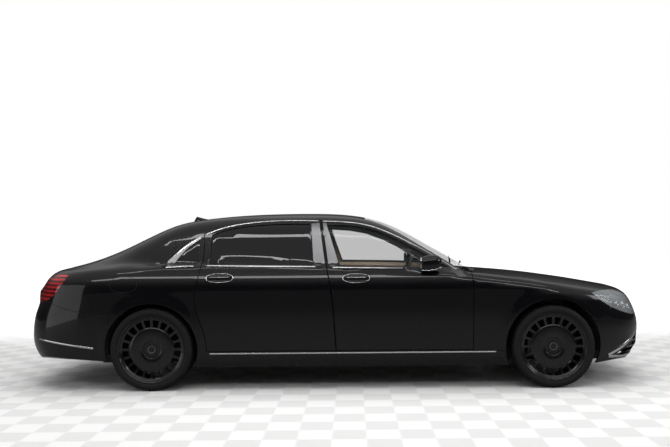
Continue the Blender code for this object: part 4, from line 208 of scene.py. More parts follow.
def drawn(view, shares, step=0.03):
    """A smooth line on the skin through the points of a table, at about one point each step."""
    a, b = (np.array(row, float) for row in zip(*shares))
    a = a * HALF_WIDTH if view in ("nose", "tail") else along(a)
    b = b * (HALF_WIDTH if view == "top" else HEIGHT)
    run = np.concatenate([[0], np.cumsum(np.hypot(np.diff(a), np.diff(b)))])
    at = np.linspace(0, run[-1], max(math.ceil(run[-1] / step), 1) + 1)
    if len(a) > 2:
        return on_skin(view, smooth_curve(list(zip(run, a)))(at), smooth_curve(list(zip(run, b)))(at))
    return on_skin(view, np.interp(at, run, a), np.interp(at, run, b))


def arch_line(axle_x, radius, start, end):
    """A wheel arch's edge on the skin between two angles."""
    angle = np.linspace(start, end, math.ceil(abs(start - end) * radius / ARCH_STEP) + 1)
    return on_skin("side", axle_x + radius * np.cos(angle), HUB_Z + radius * np.sin(angle))


def chain(*lines):
    """One line from several. A point that two of them share is kept once."""
    points = [lines[0][0]]
    for point in np.concatenate(lines)[1:]:
        if np.linalg.norm(point - points[-1]) > SAME_POINT:
            points.append(point)
    return np.array(points)


def joined(*lines):
    """One closed loop from lines that each start where the last one ends."""
    loop = chain(*lines)
    return loop[:-1] if np.linalg.norm(loop[-1] - loop[0]) < SAME_POINT else loop


def halves(*lines):
    """A loop over both sides, from lines of the left half that run from the middle to the middle."""
    half = chain(*lines)
    return joined(half, (half * (1, -1, 1))[::-1])


def beside(line, gap, closed=False):
    """A line moved sideways along the skin. A closed loop moves towards its own inside."""
    normal = skin_normal(line)
    if closed:
        ahead, last = np.roll(line, -1, axis=0) - line, line - np.roll(line, 1, axis=0)
        middle = line.mean(axis=0)
        area = np.cross(line - middle, np.roll(line, -1, axis=0) - middle).sum(axis=0)
        gap = gap if area @ normal.mean(axis=0) > 0 else -gap
    else:
        ahead = np.diff(line, axis=0)
        ahead, last = np.concatenate([ahead, ahead[-1:]]), np.concatenate([ahead[:1], ahead])
    ahead = ahead / np.linalg.norm(ahead, axis=1, keepdims=True)
    last = last / np.linalg.norm(last, axis=1, keepdims=True)
    side, last_side = np.cross(normal, ahead), np.cross(normal, last)
    corner = side + last_side
    corner /= np.maximum((corner * side).sum(axis=1, keepdims=True), 0.5)
    return line + gap * corner


class Chart:
    """A flat map of one part of the skin: along, up or round an axis. Its lengths are about true."""

    def __init__(self, kind, centre=(0, 0), facing=0, reach=1.0):
        self.kind, self.centre, self.facing, self.reach = kind, centre, facing, reach

    def flat(self, points):
        x, y, z = points.T
        if self.kind in ("side", "top"):
            return np.stack([x, z if self.kind == "side" else y], -1)
        run, a, b = {
            "round x": (x, y - self.centre[0], z - self.centre[1]),
            "round z": (z, x - self.centre[0], y - self.centre[1]),
            "round y": (y, x - self.centre[0], z - self.centre[1]),
        }[self.kind]
        c, s = math.cos(self.facing), math.sin(self.facing)
        return np.stack([run, np.arctan2(b * c - a * s, a * c + b * s) * self.reach], -1)

    def lifted(self, flat):
        """The skin points over a flat map's points."""
        if self.kind in ("side", "top"):
            return on_skin(self.kind, flat[:, 0], flat[:, 1])
        run, angle = flat[:, 0], flat[:, 1] / self.reach + self.facing
        a, b, zero = np.cos(angle), np.sin(angle), np.zeros(len(flat))
        u, v = zero + self.centre[0], zero + self.centre[1]
        centre, heading = {
            "round x": ((run, u, v), (zero, a, b)),
            "round z": ((u, v, run), (a, b, zero)),
            "round y": ((u, run, v), (a, zero, b)),
        }[self.kind]
        centre, heading = np.stack(centre, -1), np.stack(heading, -1)
        return cast(centre + heading * SIDE_REACH, -heading)


def inside(points, loop):
    x, y = points[:, :1], points[:, 1:]
    x1, y1 = loop.T
    x2, y2 = np.roll(loop, -1, axis=0).T
    level = (y1 > y) != (y2 > y)
    with np.errstate(divide="ignore", invalid="ignore"):
        meets = x1 + (y - y1) / (y2 - y1) * (x2 - x1)
    return (level & (x < meets)).sum(axis=1) % 2 == 1


def distance_to(points, loop):
    found = np.full(len(points), 9.0)
    for start, end in zip(loop, np.roll(loop, -1, axis=0)):
        run = end - start
        share = np.clip(((points - start) @ run) / max(run @ run, 1e-12), 0, 1)
        found = np.minimum(found, np.linalg.norm(points - start - share[:, None] * run, axis=1))
    return found


def tiled(loops, spacing):
    """Triangles over a flat loop with holes, and each ring's own vertex numbers."""
    low, high = loops[0].min(axis=0), loops[0].max(axis=0)
    counts = [max(round((high[i] - low[i]) / spacing), 1) for i in (0, 1)]
    rows = [np.linspace(low[i], high[i], counts[i] + 1)[1:-1] for i in (0, 1)]
    grid = np.stack(np.meshgrid(*rows), -1).reshape(-1, 2)
    keep = inside(grid, loops[0]) & (distance_to(grid, loops[0]) > EDGE_CLEAR * spacing)
    for hole in loops[1:]:
        keep &= ~inside(grid, hole) & (distance_to(grid, hole) > EDGE_CLEAR * spacing)
    points, edges, starts, first = [grid[keep]], [], [], int(keep.sum())
    for ring in loops:
        starts.append(first)
        points.append(ring)
        edges += [(first + i, first + (i + 1) % len(ring)) for i in range(len(ring))]
        first += len(ring)
    found = delaunay_2d_cdt([Vector(p) for p in np.concatenate(points)], edges, [], 0, 1e-7)
    places = np.array([tuple(p) for p in found[0]])
    faces = np.array([face for face in found[2] if len(face) == 3])
    middle = places[faces].mean(axis=1)
    keep = inside(middle, loops[0])
    for hole in loops[1:]:
        keep &= ~inside(middle, hole)
    faces = faces[keep]
    home = {old: new for new, olds in enumerate(found[3]) for old in olds}
    rings = [[home[start + i] for i in range(len(ring))] for start, ring in zip(starts, loops)]
    used = np.unique(np.concatenate([faces.ravel(), *rings]).astype(int))
    order = np.full(len(places), -1)
    order[used] = np.arange(len(used))
    return places[used], order[faces], [order[ring] for ring in rings]


# How far a rounded edge's middle lies from its corner, as a share of the fold.
ROUND = 0.293


def faced(loop):
    """The one direction that a window's loop faces."""
    mean = skin_normal(loop).mean(axis=0)
    return mean / np.linalg.norm(mean)


def pressed(
    chart, loop, thickness, holes=(), fold=0.0015, sink=0.0, draft=0.0, floor_y=None, straight=False, spacing=0.04,
):
    """A closed panel of the skin with a folded edge, as (points, faces, how many faces are not its back).

    fold rounds its edge, sink sets it below the skin, draft narrows its back, floor_y holds its back
    at one depth, and straight presses it in the one direction that its loop faces.
    """
    rims = [loop, *holes]
    tops = [beside(ring, fold if k == 0 else -fold, True) for k, ring in enumerate(rims)]
    backs = [beside(ring, draft if k == 0 else 0, True) for k, ring in enumerate(rims)]
    flat, faces, rings = tiled([chart.flat(ring) for ring in tops], spacing)
    under_flat, under_faces, under_rings = tiled([chart.flat(ring) for ring in backs], spacing * BACK_SPACING)
    outer, under = chart.lifted(flat), chart.lifted(under_flat)
    way = faced(loop) if straight else None
    inner = under - (skin_normal(under) if way is None else way) * (thickness + sink)
    if floor_y is not None:
        inner[:, 1] = np.minimum(floor_y, inner[:, 1])
    for hole, ring in zip(holes, under_rings[1:]):
        inner[ring] = under[ring] - faced(hole) * thickness
    points, strips, count = [outer, inner], [], len(outer) + len(inner)
    for ring, top, back in zip(rims, rings, under_rings):
        base = chart.lifted(chart.flat(ring))
        normal, towards = skin_normal(base), outer[top] - base
        middle = base + towards * ROUND - normal * fold * ROUND
        points += [middle, base - normal * fold]
        size = len(ring)
        rows = [top, np.arange(count, count + size), np.arange(count + size, count + 2 * size), back + len(outer)]
        for one, two in zip(rows, rows[1:]):
            strips += [(one[i], one[(i + 1) % size], two[(i + 1) % size], two[i]) for i in range(size)]
        count += 2 * size
    points = np.concatenate(points)
    shift = np.zeros_like(points)
    if sink:
        raised = np.r_[0 : len(outer), len(outer) + len(inner) : len(points)]
        shift[raised] = (skin_normal(points[raised]) if way is None else way) * sink
    front = faces.tolist() + strips
    return points - shift, front + (under_faces + len(outer)).tolist(), len(front)

# Finishes. Each is a shader whose colour, roughness and grain come from nodes, in the object's own
# coordinates. The body's paint is a deep gloss black under a clear coat, with a faint metal flake.


class Link:
    """A shader socket that can be used in sums, which add Math nodes."""

    def __init__(self, sheet, socket):
        self.sheet, self.socket = sheet, socket

    def math(self, operation, *others):
        return self.sheet.node("ShaderNodeMath", {"operation": operation}, *others)

    def __add__(self, other):
        return self.math("ADD", self, other)

    def __mul__(self, other):
        return self.math("MULTIPLY", self, other)

    __radd__, __rmul__ = __add__, __mul__

    def ramp(self, low, high):
        """0 below low, 1 above high."""
        return self.sheet.node("ShaderNodeMapRange", {"interpolation_type": "SMOOTHSTEP"}, self, low, high, 0.0, 1.0)


class Finish:
    """One material: a shader and the nodes that feed it. Values fill a node's sockets in order."""

    def __init__(self, name, colour, roughness, metallic=0.0, **settings):
        self.material = bpy.data.materials.new(name)
        self.material.use_nodes = True
        self.tree = self.material.node_tree
        self.shader = self.tree.nodes["Principled BSDF"]
        self.material.diffuse_color = (*colour, 1)
        self.set("Base Color", (*colour, 1))
        self.set("Roughness", roughness)
        self.set("Metallic", metallic)
        for key, value in settings.items():
            self.set(key.replace("_", " ").title().replace("Ior", "IOR"), value)

    def set(self, name, value):
        socket = self.shader.inputs[name]
        if isinstance(value, Link):
            self.tree.links.new(value.socket, socket)
        else:
            socket.default_value = value

    def node(self, kind, settings, *values):
        made = self.tree.nodes.new(kind)
        for key, value in settings.items():
            setattr(made, key, value)
        for socket, value in zip([s for s in made.inputs if s.enabled], values):
            if isinstance(value, Link):
                self.tree.links.new(value.socket, socket)
            else:
                socket.default_value = value
        return Link(self, [s for s in made.outputs if s.enabled][0])

    def output(self, kind, name, *values):
        """A new node's output by its name."""
        return Link(self, self.node(kind, {}, *values).socket.node.outputs[name])

    def place(self, scale=(1, 1, 1)):
        """The object's own coordinates, stretched."""
        where = self.output("ShaderNodeTexCoord", "Object")
        return self.node("ShaderNodeVectorMath", {"operation": "MULTIPLY"}, where, scale)

    def axis(self, name):
        return self.output("ShaderNodeSeparateXYZ", name, self.output("ShaderNodeTexCoord", "Object"))

    def noise(self, size, detail=2.0, stretch=(1, 1, 1)):
        return self.node("ShaderNodeTexNoise", {}, self.place(stretch), 1 / size, detail)

    def cells(self, size):
        return self.node("ShaderNodeTexVoronoi", {}, self.place(), 1 / size)

    def blend(self, share, one, two):
        colours = [colour if isinstance(colour, Link) else (*colour, 1) for colour in (one, two)]
        return self.node("ShaderNodeMix", {"data_type": "RGBA"}, share, *colours)

    def vary(self, low, spread, size, detail=2.0, stretch=(1, 1, 1)):
        """Roughness that wanders from place to place."""
        self.set("Roughness", low + spread * self.noise(size, detail, stretch))

    def mottle(self, size, detail, one, two):
        """Colour that wanders between two."""
        self.set("Base Color", self.blend(self.noise(size, detail), one, two))

    def bump(self, height, distance, strength=1.0):
        made = self.tree.nodes.new("ShaderNodeBump")
        made.inputs["Strength"].default_value = strength
        made.inputs["Distance"].default_value = distance
        self.tree.links.new(height.socket, made.inputs["Height"])
        self.tree.links.new(made.outputs["Normal"], self.shader.inputs["Normal"])


paint = Finish(
    "gloss_black_paint", (0.004, 0.004, 0.005), 0.3, 0.0,
    coat_weight=1.0, coat_roughness=0.015, coat_ior=1.42, specular_ior_level=0.12,
)
flake = paint.noise(0.0006, 1.0)
paint.set("Base Color", paint.blend(flake.ramp(0.55, 0.75), (0.002, 0.002, 0.003), (0.006, 0.006, 0.008)))
paint.vary(0.22, 0.14, 0.4, 3.0)
inner = Finish("inner_trim", (0.03, 0.03, 0.031), 0.62)
inner.mottle(0.05, 3.0, (0.022, 0.022, 0.023), (0.042, 0.041, 0.04))
inner.bump(inner.cells(0.0016), 0.0003, 0.5)


def piece(name, points, faces, finishes, body, replaces=(), slot=None, back=None, smooth=35, skin=False, cut=()):
    """A closed piece in the scene. Faces from number back onwards take the second finish."""
    mesh = bpy.data.meshes.new(name)
    mesh.from_pydata(np.asarray(points, float).tolist(), [], [tuple(int(i) for i in face) for face in faces])
    for finish in finishes:
        mesh.materials.append(finish.material)
    if back is not None:
        mesh.polygons.foreach_set("material_index", [int(i >= back) for i in range(len(mesh.polygons))])
    form = bmesh.new()
    form.from_mesh(mesh)
    bmesh.ops.recalc_face_normals(form, faces=form.faces)
    form.to_mesh(mesh)
    form.free()
    made = bpy.data.objects.new(name, mesh)
    collection.objects.link(made)
    for other_points, other_faces in cut:
        cutter_mesh = bpy.data.meshes.new("cutter")
        cutter_mesh.from_pydata(np.asarray(other_points, float).tolist(), [], [tuple(f) for f in other_faces])
        cutter = bpy.data.objects.new("cutter", cutter_mesh)
        collection.objects.link(cutter)
        modifier = made.modifiers.new("cut", "BOOLEAN")
        modifier.operation, modifier.solver, modifier.object = "DIFFERENCE", "EXACT", cutter
    if cut:
        graph = bpy.context.evaluated_depsgraph_get()
        mesh = bpy.data.meshes.new_from_object(made.evaluated_get(graph))
        for modifier in list(made.modifiers):
            tool = modifier.object
            made.modifiers.remove(modifier)
            bpy.data.objects.remove(tool)
        made.data = mesh
        mesh.name = name
    mesh.shade_smooth()
    mesh.set_sharp_from_angle(angle=math.radians(smooth))
    if skin:
        settle_normals(mesh)
    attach(made, body)
    if replaces:
        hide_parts(*replaces)
    return made


ON_SKIN, FACING = 0.0003, 0.8


def settle_normals(mesh):
    """Gives the corners that lie on the skin the skin's own normal, so that the paint mirrors cleanly."""
    places = np.zeros(len(mesh.vertices) * 3)
    mesh.vertices.foreach_get("co", places)
    places = places.reshape(-1, 3)
    normals = np.zeros_like(places)
    on = np.abs(depth(places)) < ON_SKIN
    normals[on] = skin_normal(places[on])
    facing = np.zeros(len(mesh.polygons) * 3)
    mesh.polygons.foreach_get("normal", facing)
    facing = facing.reshape(-1, 3)
    corner_vertex = np.zeros(len(mesh.loops), int)
    mesh.loops.foreach_get("vertex_index", corner_vertex)
    sizes = np.zeros(len(mesh.polygons), int)
    mesh.polygons.foreach_get("loop_total", sizes)
    corner_face = np.repeat(np.arange(len(sizes)), sizes)
    wanted = normals[corner_vertex]
    wanted[(wanted * facing[corner_face]).sum(axis=1) < FACING] = 0
    mesh.normals_split_custom_set(wanted.tolist())


def other_side(points, faces):
    return np.asarray(points) * (1, -1, 1), [tuple(face)[::-1] for face in faces]


def both(name, solid, finishes, body, slot=None, back=None, node=None, cut=(), **more):
    """A left piece and its mirror. The body and the node are named without their side where both have one."""
    points, faces = solid[0], solid[1]
    for side in ("left", "right"):
        if side == "right":
            points, faces = other_side(points, faces)
            cut = [other_side(*tool) for tool in cut]
        where = body if body == "body" else body + "_" + side
        taken = (node + "_" + side,) if node else ()
        piece(name + "_" + side, points, faces, finishes, where, taken, slot, back, cut=cut, **more)


# Lines between the panels, taken from the photograph: a station along the car and a share of its height,
# or of its half width from above, or both shares from the nose and the tail.
DOOR_FRONT = ((0.801, 0.217), (0.801, 0.401), (0.802, 0.534), (0.801, 0.601), (0.799, 0.641))
DOOR_SPLIT = ((0.459, 0.217), (0.454, 0.401), (0.446, 0.568), (0.438, 0.668), (0.42, 0.951))
DOOR_REAR = (
    (0.137, 0.217), (0.133, 0.301), (0.118, 0.401), (0.109, 0.501), (0.114, 0.601), (0.122, 0.688), (0.12, 0.876),
)
REAR_DOOR_TOP = ((0.12, 0.876), (0.157, 0.908), (0.241, 0.944), (0.347, 0.955), (0.42, 0.951))
FRONT_DOOR_TOP = (
    (0.42, 0.951), (0.497, 0.941), (0.55, 0.919), (0.602, 0.873), (0.642, 0.828),
    (0.681, 0.78), (0.732, 0.711), (0.766, 0.663), (0.799, 0.641),
)
FRONT_WINDOW_TOP = (
    (0.435, 0.921), (0.497, 0.918), (0.55, 0.897), (0.602, 0.852), (0.642, 0.808), (0.681, 0.76), (0.744, 0.676),
)
FRONT_WINDOW_SILL = ((0.744, 0.676), (0.608, 0.684), (0.47, 0.69))
REAR_WINDOW_TOP = ((0.141, 0.87), (0.157, 0.884), (0.241, 0.921), (0.347, 0.931), (0.392, 0.929))
REAR_WINDOW_SILL = ((0.402, 0.695), (0.281, 0.701), (0.141, 0.707))
QUARTER_WINDOW = ((0.111, 0.714), (0.111, 0.843), (0.091, 0.814), (0.064, 0.765), (0.046, 0.724), (0.05, 0.714))
FENDER_SPLIT = ((1.553, 0.446), (1.495, 0.401), (1.386, 0.364))
QUARTER_SPLIT = ((-0.77, 0.503), (-0.636, 0.468), (-0.467, 0.438), (-0.277, 0.418))

door_front, door_split, door_rear = drawn("side", DOOR_FRONT), drawn("side", DOOR_SPLIT), drawn("side", DOOR_REAR)
rear_door_top, front_door_top = drawn("side", REAR_DOOR_TOP), drawn("side", FRONT_DOOR_TOP)
rear_door_foot = drawn("side", ((0.459, 0.217), (0.137, 0.217)), 0.06)
front_door_foot = drawn("side", ((0.801, 0.217), (0.459, 0.217)), 0.06)
lamp_top = chain(
    drawn("side", ((1.528, 0.537), (1.587, 0.536), (1.72, 0.52), (1.796, 0.499))),
    drawn("nose", ((0.592, 0.499), (0.54, 0.503), (0.479, 0.502))),
)
lamp_tip = drawn("side", ((1.365, 0.529), (1.465, 0.537), (1.528, 0.537)))
lamp_rear = drawn("side", ((1.365, 0.529), (1.394, 0.511), (1.473, 0.476), (1.553, 0.446)))
lamp_foot = chain(
    drawn("side", ((1.553, 0.446), (1.641, 0.424), (1.755, 0.401), (1.82, 0.391))),
    drawn("nose", ((0.704, 0.391), (0.632, 0.392), (0.558, 0.401), (0.495, 0.424))),
)
lamp_inner = drawn("nose", ((0.495, 0.424), (0.479, 0.461), (0.479, 0.502)))
fender_split, quarter_split = drawn("side", FENDER_SPLIT), drawn("side", QUARTER_SPLIT)
fender_foot = drawn("side", ((0.801, 0.212), (0.885, 0.212)))
screen_side = drawn("top", ((0.797, 0.753), (0.727, 0.708), (0.638, 0.651), (0.579, 0.613), (0.524, 0.574)))
screen_top = drawn("top", ((0.524, 0.574), (0.534, 0.316), (0.538, 0.0)))
screen_foot = drawn("top", ((0.797, 0.753), (0.813, 0.474), (0.821, 0.211), (0.822, 0.0)))
roof_side = drawn("top", ((0.524, 0.574), (0.371, 0.577), (0.222, 0.574), (0.056, 0.558)), 0.05)
back_side = drawn("top", ((0.056, 0.558), (-0.045, 0.585), (-0.256, 0.621), (-0.433, 0.658)))
back_top = drawn("top", ((0.056, 0.558), (0.045, 0.316), (0.041, 0.0)))
back_foot = drawn("top", ((-0.433, 0.658), (-0.459, 0.421), (-0.467, 0.211), (-0.47, 0.0)))
bonnet_rear = drawn("top", ((0.804, 0.792), (0.816, 0.632), (0.833, 0.421), (0.84, 0.211), (0.842, 0.0)))
bonnet_side = drawn(
    "top", ((0.804, 0.792), (0.876, 0.806), (0.965, 0.809), (1.199, 0.806), (1.375, 0.798), (1.528, 0.786)),
)
bonnet_nose = drawn("nose", ((0.479, 0.502), (0.421, 0.511), (0.211, 0.516), (0.0, 0.517)))
cowl_end = drawn("top", ((0.804, 0.792), (0.797, 0.753)))
pillar_foot = drawn("top", ((0.799, 0.947), (0.802, 0.86), (0.804, 0.792)))
deck_front = drawn("top", ((-0.48, 0.674), (-0.488, 0.316), (-0.492, 0.0)))
deck_side = drawn("top", ((-0.48, 0.674), (-0.552, 0.716), (-0.678, 0.732), (-0.788, 0.727)))
deck_end = drawn("top", ((-0.433, 0.658), (-0.48, 0.674)))
deck_back = drawn("tail", ((0.727, 0.628), (0.695, 0.601), (0.685, 0.548), (0.679, 0.491)))
deck_foot = drawn("tail", ((0.679, 0.491), (0.632, 0.471), (0.421, 0.468), (0.0, 0.468)))
tail_lamp_top = drawn("top", ((-0.598, 0.910), (-0.695, 0.832), (-0.788, 0.727)))
tail_lamp_front = drawn("side", ((-0.598, 0.649), (-0.636, 0.601), (-0.687, 0.55), (-0.77, 0.503)))
tail_lamp_foot = drawn("tail", ((0.861, 0.503), (0.779, 0.494), (0.679, 0.491)))
nose_foot = drawn("nose", ((0.0, 0.125), (0.3, 0.125), (0.6, 0.127)))
tail_foot = drawn("tail", ((0.0, 0.16), (0.4, 0.16), (0.7, 0.165)))


# The heights at which an arch meets the sill and the bumpers, the wing, and the panels' splits.
SILL_LEVEL, FENDER_LEVEL, SPLIT_LEVEL, QUARTER_LEVEL, TAIL_LEVEL = 0.127, 0.212, 0.364, 0.418, 0.165


def arch_angles(radius, *levels):
    return [math.asin((level * HEIGHT - HUB_Z) / radius) for level in levels]


sill_angle, fender_angle, split_angle = arch_angles(FRONT_ARCH, SILL_LEVEL, FENDER_LEVEL, SPLIT_LEVEL)
quarter_angle, tail_angle, rear_sill_angle = arch_angles(REAR_ARCH, QUARTER_LEVEL, TAIL_LEVEL, SILL_LEVEL)
arch_sill = arch_line(FRONT_AXLE_X, FRONT_ARCH, math.pi - sill_angle, math.pi - fender_angle)
arch_fender = arch_line(FRONT_AXLE_X, FRONT_ARCH, math.pi - fender_angle, split_angle)
arch_nose = arch_line(FRONT_AXLE_X, FRONT_ARCH, split_angle, sill_angle)
arch_tail = arch_line(REAR_AXLE_X, REAR_ARCH, math.pi - quarter_angle, math.pi - tail_angle)
arch_quarter = arch_line(REAR_AXLE_X, REAR_ARCH, math.pi - quarter_angle, rear_sill_angle)
sill_foot = on_skin("side", np.linspace(arch_quarter[-1, 0], arch_sill[0, 0], 40), np.full(40, SILL_LEVEL * HEIGHT))
fender_foot[-1], fender_split[-1], quarter_split[-1] = arch_fender[0], arch_nose[0], arch_tail[0]
pillar_foot[0] = front_door_top[-1]

# Body sides. Each is one steel pressing from the sill over the rear wheel and up round the cabin to
# the windscreen pillar, sprayed gloss black, with the small quarter window's hole cut in it.
side_chart, top_chart = Chart("side"), Chart("top")
round_chart = Chart("round x", (HALF_WIDTH * 0.32, HEIGHT * 0.4), math.radians(40), HALF_WIDTH * 0.6)
SEAM, DOOR_GAP, LID_GAP = 0.0006, 0.0045, 0.006
SIDE_THICK, ROOF_THICK, BUMPER_THICK, LARGE_SPACING = 0.008, 0.032, 0.012, 0.06
quarter_window = np.concatenate(
    [on_skin("side", along([a]), np.array([b * HEIGHT])) for a, b in QUARTER_WINDOW]
)
side_loop = joined(
    sill_foot, arch_sill, fender_foot[::-1], front_door_foot, rear_door_foot, door_rear, rear_door_top,
    front_door_top, pillar_foot, cowl_end, screen_side, roof_side, back_side, deck_end, deck_side,
    tail_lamp_top[::-1], tail_lamp_front, quarter_split, arch_quarter,
)
side = pressed(round_chart, beside(side_loop, SEAM, True), SIDE_THICK, [quarter_window])
both("body_side", side, (paint, inner), "body", "paint", side[2], "body_side", skin=True)

# Front wings. Each is a bolted steel pressing between the bonnet, the front door, the arch and the
# headlamp.
fender_loop = joined(
    fender_foot, arch_fender, fender_split[::-1], lamp_rear[::-1], lamp_tip, bonnet_side[::-1],
    pillar_foot[::-1], door_front[::-1],
)
fender = pressed(round_chart, beside(fender_loop, SEAM, True), SIDE_THICK)
both("fender", fender, (paint, inner), "body", "paint", fender[2], "fender", skin=True)

# The roof: one crowned steel panel between the two screens, painted outside, with its cloth
# headlining under it.
headlining = Finish("headlining_cloth", (0.42, 0.38, 0.33), 0.9)
headlining.mottle(0.004, 3.0, (0.38, 0.34, 0.29), (0.46, 0.42, 0.37))
headlining.bump(headlining.noise(0.0015, 2.0), 0.0004, 0.6)
roof_loop = halves(screen_top[::-1], roof_side, back_top)
roof = pressed(top_chart, beside(roof_loop, SEAM, True), ROOF_THICK, spacing=LARGE_SPACING)
piece("roof_panel", roof[0], roof[1], (paint, headlining), "body", ("roof",), "paint", roof[2], skin=True)

# Bumpers: moulded plastic covers, painted as the body is. The front one has the grille's hole and two
# corner intakes, and both wrap round to the wheel arches.
nose_chart = Chart("round z", (float(along(0.98)), 0), 0, HALF_WIDTH)
tail_chart = Chart("round z", (float(along(-0.17)), 0), math.pi, HALF_WIDTH)
GRILLE = ((0.0, 0.292), (0.3, 0.292), (0.40, 0.31), (0.425, 0.40), (0.415, 0.49), (0.38, 0.5), (0.0, 0.505))
INTAKE = ((0.5, 0.165), (0.5, 0.27), (0.56, 0.285), (0.66, 0.265), (0.76, 0.215), (0.83, 0.165))


def on_nose(shares):
    a, b = np.array(shares, float).T
    return on_skin("nose", a * HALF_WIDTH, b * HEIGHT)


grille_hole, intake_hole = halves(on_nose(GRILLE)), on_nose(INTAKE)
nose_loop = halves(bonnet_nose[::-1], lamp_inner[::-1], lamp_foot[::-1], fender_split, arch_nose, nose_foot[::-1])
tail_loop = halves(deck_foot[::-1], tail_lamp_foot[::-1], quarter_split, arch_tail, tail_foot[::-1])
intakes = [intake_hole, (intake_hole * (1, -1, 1))[::-1]]
bumper = pressed(nose_chart, beside(nose_loop, SEAM, True), BUMPER_THICK, [grille_hole, *intakes])
piece("front_bumper_cover", *bumper[:2], (paint, inner), "body", ("front_bumper",), "paint", bumper[2], skin=True)
bumper = pressed(tail_chart, beside(tail_loop, SEAM, True), BUMPER_THICK)
piece("rear_bumper_cover", *bumper[:2], (paint, inner), "body", ("rear_bumper",), "paint", bumper[2], skin=True)

# Doors. Each is a hollow steel door, painted outside, with a leather trim panel inside and a
# window let into it. It is pressed on the same skin, thick as the whole door, with its window's hole.
DOOR_FLOOR_Y, DOOR_THICK, DOOR_DRAFT = HALF_WIDTH - 0.15, 0.038, 0.016
POCKET_Y = (HALF_WIDTH - 0.19, HALF_WIDTH - 0.012)
HINGE_X, HINGE_Z, POCKET = (1.0667, -0.1015), (0.539, 0.808), (0.03, 0.145, 0.0303)

card = Finish("door_card_leather", (0.42, 0.33, 0.235), 0.55)
card.mottle(0.03, 3.0, (0.37, 0.285, 0.2), (0.46, 0.365, 0.265))
card.bump(card.cells(0.0022), 0.0004, 0.5)


def block(low, high):
    """A plain box as (points, faces)."""
    ends = (low, high)
    points = [(ends[i][0], ends[j][1], ends[k][2]) for k in (0, 1) for j in (0, 1) for i in (0, 1)]
    return np.array(points, float), [(0, 2, 3, 1), (4, 5, 7, 6), (0, 1, 5, 4), (1, 3, 7, 5), (3, 2, 6, 7), (2, 0, 4, 6)]


def window_of(top, *ends):
    return joined(drawn("side", top), *[drawn("side", end, 0.05) for end in ends])


front_window = window_of(FRONT_WINDOW_TOP, FRONT_WINDOW_SILL, ((0.47, 0.69), (0.435, 0.921)))
rear_window = window_of(
    REAR_WINDOW_TOP, ((0.392, 0.929), (0.402, 0.695)), REAR_WINDOW_SILL, ((0.141, 0.707), (0.141, 0.87)),
)
front_door_loop = joined(door_split, front_door_top, door_front[::-1], front_door_foot)
rear_door_loop = joined(door_rear, rear_door_top, door_split[::-1], rear_door_foot)
DOORS = (
    ("front_door", front_door_loop, front_window, HINGE_X[0]),
    ("rear_door", rear_door_loop, rear_window, HINGE_X[1]),
)
for name, loop, window, hinge_x in DOORS:
    back, ahead, half = POCKET
    pockets = [
        block((hinge_x - back, POCKET_Y[0], z - half), (hinge_x + ahead, POCKET_Y[1], z + half)) for z in HINGE_Z
    ]
    shut = beside(loop, DOOR_GAP, True)
    panel = pressed(side_chart, shut, DOOR_THICK, [window], draft=DOOR_DRAFT, floor_y=DOOR_FLOOR_Y)
    both(name + "_panel", panel, (paint, card), name, "paint", panel[2], name, cut=pockets, skin=True)

# Lids. The bonnet and the boot lid are aluminium pressings, painted outside, each on two bent arms
# that swing on pins beside the engine bay and the boot.
LID_ARM_Y, ARM_REACH, ARM_WIDTH, ARM_DEPTH, LID_THICK = 0.57, 0.2, 0.02, 0.016, 0.02
BONNET_ARM = ((0, 0), (0.1, -0.3), (0.45, -0.425), (0.85, -0.425), (1.0, -0.05), (1.18, 0.05))
BOOT_ARM = ((0, 0), (-0.08, -0.65), (-0.6, -0.85), (-1.0, -0.6), (-1.1, 0.1))
steel = Finish("bare_steel", (0.32, 0.32, 0.33), 0.4, 1.0)
steel.vary(0.3, 0.25, 0.02, 3.0)
deck_place = (float(along(-0.55)), HEIGHT * 0.45)
deck_chart = Chart("round y", deck_place, math.radians(120), HALF_WIDTH * 0.45)


def tube(path, half_wide, half_deep, round_by=0.35, wide=(0, 1, 0), corners=3):
    """A closed bar of rounded rectangular section along a path."""
    path, wide = np.asarray(path, float), np.asarray(wide, float)
    ring = []
    for k, (sign_u, sign_v) in enumerate(((1, 1), (-1, 1), (-1, -1), (1, -1))):
        for angle in np.radians(np.linspace(k * 90, k * 90 + 90, corners)):
            u = sign_u * (1 - round_by) + round_by * math.cos(angle)
            v = sign_v * (1 - round_by) + round_by * math.sin(angle)
            ring.append((u * half_wide, v * half_deep))
    ring = np.array(ring)
    points = []
    for i, place in enumerate(path):
        way = path[min(i + 1, len(path) - 1)] - path[max(i - 1, 0)]
        way = way / np.linalg.norm(way)
        u = wide - way * (way @ wide)
        u /= np.linalg.norm(u)
        points.append(place + ring[:, :1] * u + ring[:, 1:] * np.cross(way, u))
    return stacked(points)


def stacked(rings, wrap=False):
    """A closed skin over rings of equal length, capped at both ends unless it wraps."""
    size, count = len(rings[0]), len(rings)
    points = np.concatenate(rings)
    faces = []
    for i in range(count if wrap else count - 1):
        for j in range(size):
            a, b = i * size + j, i * size + (j + 1) % size
            c, d = ((i + 1) % count) * size + (j + 1) % size, ((i + 1) % count) * size + j
            faces.append((a, b, c, d))
    if not wrap:
        faces += [tuple(range(size))[::-1], tuple(range((count - 1) * size, count * size))]
    return points, faces


def gathered(*solids):
    """Several solids as one list of points and faces."""
    points, faces, start = [], [], 0
    for solid in solids:
        points.append(np.asarray(solid[0], float))
        faces += [tuple(i + start for i in face) for face in solid[1]]
        start += len(solid[0])
    return np.concatenate(points), faces


